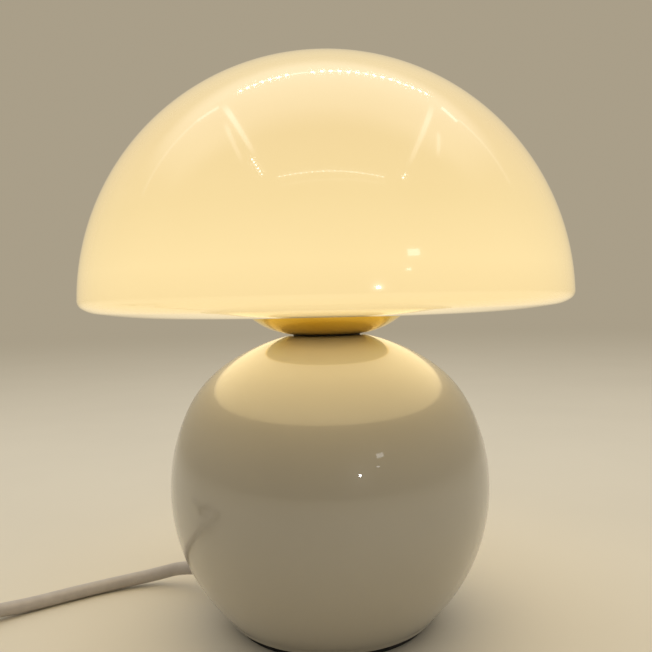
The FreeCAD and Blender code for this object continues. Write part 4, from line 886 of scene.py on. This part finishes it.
def coilPoints(setup):
    total = setup["turns"] * 360 + setup["rest"]
    count = round(total / 360 * setup["pointsPerTurn"])
    swell = 2 / (1 + math.cos(math.radians(360 / setup["pointsPerTurn"])))
    points = []
    for index in range(count + 1):
        part = index / count
        inward = 1 - abs(2 * part - 1)
        radius = setup["outer"] + (setup["inner"] - setup["outer"]) * inward
        climb = min(max((part - setup["climbStart"]) / setup["climbLength"], 0), 1)
        climb = climb * climb * (3 - 2 * climb)
        angle = math.radians(setup["startAngle"] - total * part)
        points.append((setup["centre"][0] + radius * swell ** 0.5 * math.cos(angle),
                       setup["centre"][1] + radius * swell ** 0.5 * math.sin(angle),
                       setup["floor"] + setup["layer"] * climb))
    return points


def addCord(name, route, diameter):
    data = bpy.data.curves.new(name, "CURVE")
    data.dimensions = "3D"
    data.bevel_depth = diameter * mm / 2
    data.bevel_resolution = 8
    data.resolution_u = 12
    data.use_fill_caps = True
    spline = data.splines.new("NURBS")
    spline.points.add(len(route) - 1)
    for point, place in zip(spline.points, route):
        point.co = (*(value * mm for value in place), 1)
    spline.order_u = 3
    spline.use_endpoint_u = True
    cord = bpy.data.objects.new(name, data)
    bpy.context.scene.collection.objects.link(cord)
    return cord


def lengthOf(cord):
    line = cord.copy()
    line.data = cord.data.copy()
    line.data.bevel_depth = 0
    bpy.context.scene.collection.objects.link(line)
    mesh = bpy.data.meshes.new_from_object(line.evaluated_get(bpy.context.evaluated_depsgraph_get()))
    total = sum((mesh.vertices[a].co - mesh.vertices[b].co).length
                for a, b in (edge.vertices for edge in mesh.edges))
    bpy.data.objects.remove(line)
    return total


lampCord = addCord("lampCord", lampRoute, cordSetup["diameter"])
coiledCord = addCord("coiledCord", leadIn + coilPoints(coilSetup) + leadOut, cordSetup["diameter"])
print("cord lengths:", round(lengthOf(lampCord), 4), round(lengthOf(coiledCord), 4))
finish(lampCord, finishes["white_cord"], "base", "white_cord", "cord_to_switch")
finish(coiledCord, finishes["white_cord"], "base", "white_cord", "cord_to_coil", "cord_coil", "cord_to_plug")


# Stage: pale floor that melts into the backdrop, soft light from above and behind, a ring of small lamps

stageSetup = {
    "floorRadius": 5, "fadeStart": 0.36, "fadeEnd": 2.9,
    "floorColour": (0.70, 0.645, 0.53), "backColour": (0.40, 0.345, 0.25),
    "darker": 0.97,
}
worldSetup = {
    "base": 0.26, "lean": (0, 0.42, 1.0), "tint": (1, 0.955, 0.87),
    "mirrorBase": 0.62, "mirrorLean": (0, 0.48, 0.5),
}
leastLight = 0.02
dotEdge = 0.34
fadeShare = 0.3
lampAim = (0, 0, 0.12)
stripHeight = 0.45
panelHeight = stripHeight + 0.02
lightStrips = [  # name, start and end in millimetres, width, small lights along it, strength, glow between
    ("backStripLeft", (-126.2, 47.5), (-41.9, 49.5), 4.4, 7, 18, 0.03),
    ("backStripRight", (-17.5, 49), (167.9, 75.5), 4.4, 15, 18, 0.03),
    ("backGap", (-42, 49.5), (-17.5, 50), 4, 0, 1.6, 0),
    ("frontStrip", (-116, -287), (159, -283), 4, 20, 6, 0.35),
    ("frontEcho", (-114, -324), (173, -309), 6, 0, 0.5, 0),
    ("leftDots", (-155.5, -193), (-150, -267), 4, 6, 18, 0.05),
    ("rightDots", (207, -242), (206.4, -270), 4, 2, 18, 0.05),
    ("leftGlow", (-157, 36), (-144, -205), 15, 0, 1.5, 0),
    ("leftOuterGlow", (-169, -30), (-181, -205), 13, 0, 0.9, 0),
    ("rightGlow", (180, 48), (203, -228), 16, 0, 1.1, 0),
    ("rightOuterGlow", (216, -40), (258, -135), 14, 0, 0.9, 0),
    ("leftCorner", (-166, 27), (-215, 36), 12, 0, 0.8, 0),
    ("rightCorner", (198, 54), (242, 46), 14, 0, 1.2, 0),
    ("leftEdge", (-215, 36), (-520, 40), 8, 0, 0.45, 0),
    ("rightEdge", (242, 60), (520, 90), 8, 0, 0.45, 0),
]
underGlow = {"below": 0.3, "across": 188, "strength": 0.72, "colour": (1, 0.79, 0.46)}
softPanels = [  # name, middle and size in millimetres, strength: paler ceiling round the ring
    ("backHalo", (0, 0), (1000, 330), 0.5),
]
smallLamps = [
    ("phoneLamp", (0.158, -0.460, 0.169), 0.012, 0.012, 60),
    ("windowPane", (0.445, -0.625, 0.372), 0.07, 0.035, 3),
    ("windowSlit", (0.425, -0.668, 0.290), 0.03, 0.012, 4),
]


def addFloor(setup):
    deselectAll()
    bpy.ops.mesh.primitive_circle_add(vertices=96, radius=setup["floorRadius"], fill_type="NGON")
    floor = bpy.context.active_object
    floor.name = "floor"
    material = newMaterial("paleFloor", Roughness=0.7)
    darker = tuple(value * setup["darker"] for value in setup["floorColour"])
    varyColour(material, setup["floorColour"], darker, 6)
    coordinates = addNode(material, "ShaderNodeTexCoord")
    distance = addNode(material, "ShaderNodeVectorMath", operation="LENGTH")
    span = addNode(material, "ShaderNodeMapRange", interpolation_type="SMOOTHSTEP")
    span.inputs["From Min"].default_value = math.log(setup["fadeStart"])
    span.inputs["From Max"].default_value = math.log(setup["fadeEnd"])
    stretch = addNode(material, "ShaderNodeMath", operation="LOGARITHM")
    stretch.inputs[1].default_value = math.e
    glow = addNode(material, "ShaderNodeEmission", Color=(*setup["backColour"], 1))
    blend = addNode(material, "ShaderNodeMixShader")
    link(material, coordinates.outputs["Object"], distance.inputs[0])
    link(material, distance.outputs["Value"], stretch.inputs[0])
    link(material, stretch.outputs[0], span.inputs["Value"])
    link(material, span.outputs["Result"], blend.inputs[0])
    link(material, shaderOf(material).outputs[0], blend.inputs[1])
    link(material, glow.outputs[0], blend.inputs[2])
    link(material, blend.outputs[0], material.node_tree.nodes["Material Output"].inputs["Surface"])
    floor.data.materials.append(material)


def addWorld(setup, backColour):  # the camera sees a plain backdrop, glaze and metal see it paler overhead
    world = bpy.data.worlds.new("softWorld")
    bpy.context.scene.world = world
    world.use_nodes = True
    tree = world.node_tree
    coordinates = tree.nodes.new("ShaderNodeTexCoord")

    def leaningBackground(colour, base, lean):
        background = tree.nodes.new("ShaderNodeBackground")
        background.inputs["Color"].default_value = (*colour, 1)
        along = tree.nodes.new("ShaderNodeVectorMath")
        along.operation = "DOT_PRODUCT"
        along.inputs[1].default_value = lean
        rise = tree.nodes.new("ShaderNodeMath")
        rise.inputs[1].default_value = base
        least = tree.nodes.new("ShaderNodeMath")
        least.operation = "MAXIMUM"
        least.inputs[1].default_value = leastLight
        tree.links.new(coordinates.outputs["Generated"], along.inputs[0])
        tree.links.new(along.outputs["Value"], rise.inputs[0])
        tree.links.new(rise.outputs[0], least.inputs[0])
        tree.links.new(least.outputs[0], background.inputs["Strength"])
        return background

    def blendBy(ray, first, second):
        blend = tree.nodes.new("ShaderNodeMixShader")
        tree.links.new(ray, blend.inputs[0])
        tree.links.new(first.outputs[0], blend.inputs[1])
        tree.links.new(second.outputs[0], blend.inputs[2])
        return blend

    plain = tree.nodes["Background"]
    plain.inputs["Color"].default_value = (*backColour, 1)
    light = leaningBackground(setup["tint"], setup["base"], setup["lean"])
    mirrored = leaningBackground(backColour, setup["mirrorBase"], setup["mirrorLean"])
    rays = tree.nodes.new("ShaderNodeLightPath")
    either = tree.nodes.new("ShaderNodeMath")
    either.use_clamp = True
    tree.links.new(rays.outputs["Is Glossy Ray"], either.inputs[0])
    tree.links.new(rays.outputs["Is Transmission Ray"], either.inputs[1])
    seen = blendBy(either.outputs[0], light, mirrored)
    seen = blendBy(rays.outputs["Is Camera Ray"], seen, plain)
    tree.links.new(seen.outputs[0], tree.nodes["World Output"].inputs["Surface"])


def addLamp(name, place, width, height, strength, target=None):
    deselectAll()
    bpy.ops.object.light_add(type="AREA", location=place)
    lamp = bpy.context.active_object
    lamp.name = name
    lamp.data.shape = "RECTANGLE"
    lamp.data.size = width
    lamp.data.size_y = height
    lamp.data.energy = strength * width * height * math.pi
    lamp.visible_camera = False
    if target:
        lamp.rotation_euler = (Vector(target) - Vector(place)).to_track_quat("-Z", "Y").to_euler()
    return lamp


def dotLamp(lamp, dots, glow):  # a strip of small round lights
    lamp.data.use_nodes = True
    tree = lamp.data.node_tree
    place = tree.nodes.new("ShaderNodeNewGeometry")
    parts = tree.nodes.new("ShaderNodeSeparateXYZ")
    count = tree.nodes.new("ShaderNodeMath")
    count.operation = "MULTIPLY"
    count.inputs[1].default_value = dots
    wave = tree.nodes.new("ShaderNodeMath")
    wave.operation = "PINGPONG"
    wave.inputs[1].default_value = 0.5
    edge = tree.nodes.new("ShaderNodeMath")
    edge.operation = "GREATER_THAN"
    edge.inputs[1].default_value = dotEdge
    level = tree.nodes.new("ShaderNodeMath")
    level.operation = "MAXIMUM"
    level.inputs[1].default_value = glow
    tree.links.new(place.outputs["Parametric"], parts.inputs[0])
    tree.links.new(parts.outputs[0], count.inputs[0])
    tree.links.new(count.outputs[0], wave.inputs[0])
    tree.links.new(wave.outputs[0], edge.inputs[0])
    tree.links.new(edge.outputs[0], level.inputs[0])
    tree.links.new(level.outputs[0], tree.nodes["Emission"].inputs["Strength"])


def addStrip(name, start, end, width, dots, strength, glow):
    along = (Vector(end) - Vector(start)) * mm
    middle = (Vector(end) + Vector(start)) * mm / 2
    lamp = addLamp(name, (middle.x, middle.y, stripHeight), along.length, width * mm, strength)
    lamp.rotation_euler = (0, 0, math.atan2(along.y, along.x))
    if dots:
        dotLamp(lamp, dots, glow)
    if name.endswith("Glow"):  # the soft bands beside the ring
        fadeLamp(lamp)


def fadeLamp(lamp):  # dies away towards the lamp's edges, and only shows as a reflection
    lamp.visible_diffuse = False
    lamp.data.use_nodes = True
    tree = lamp.data.node_tree
    place = tree.nodes.new("ShaderNodeNewGeometry")
    parts = tree.nodes.new("ShaderNodeSeparateXYZ")
    both = tree.nodes.new("ShaderNodeMath")
    both.operation = "MULTIPLY"
    tree.links.new(place.outputs["Parametric"], parts.inputs[0])
    for axis in range(2):
        wave = tree.nodes.new("ShaderNodeMath")
        wave.operation = "PINGPONG"
        wave.inputs[1].default_value = 0.5
        rise = tree.nodes.new("ShaderNodeMapRange")
        rise.interpolation_type = "SMOOTHSTEP"
        rise.inputs["From Max"].default_value = fadeShare
        tree.links.new(parts.outputs[axis], wave.inputs[0])
        tree.links.new(wave.outputs[0], rise.inputs["Value"])
        tree.links.new(rise.outputs["Result"], both.inputs[axis])
    tree.links.new(both.outputs[0], tree.nodes["Emission"].inputs["Strength"])


def addUnderGlow(setup):  # warm light that the glass throws down on the ball
    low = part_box("glass_shade")[0][2]
    lamp = addLamp("underGlow", (0, 0, low - setup["below"] * mm), setup["across"] * mm, setup["across"] * mm,
                   setup["strength"] * math.pi / 4)
    lamp.data.shape = "DISK"
    lamp.data.color = setup["colour"]


addFloor(stageSetup)
addWorld(worldSetup, stageSetup["backColour"])
for strip in lightStrips:
    addStrip(*strip)
for name, (x, y), (width, depth), strength in softPanels:
    fadeLamp(addLamp(name, (x * mm, y * mm, panelHeight), width * mm, depth * mm, strength))
for name, place, width, height, strength in smallLamps:
    addLamp(name, place, width, height, strength, target=lampAim)
addUnderGlow(underGlow)
bpy.context.scene.view_settings.view_transform = "Standard"
print("stage set")
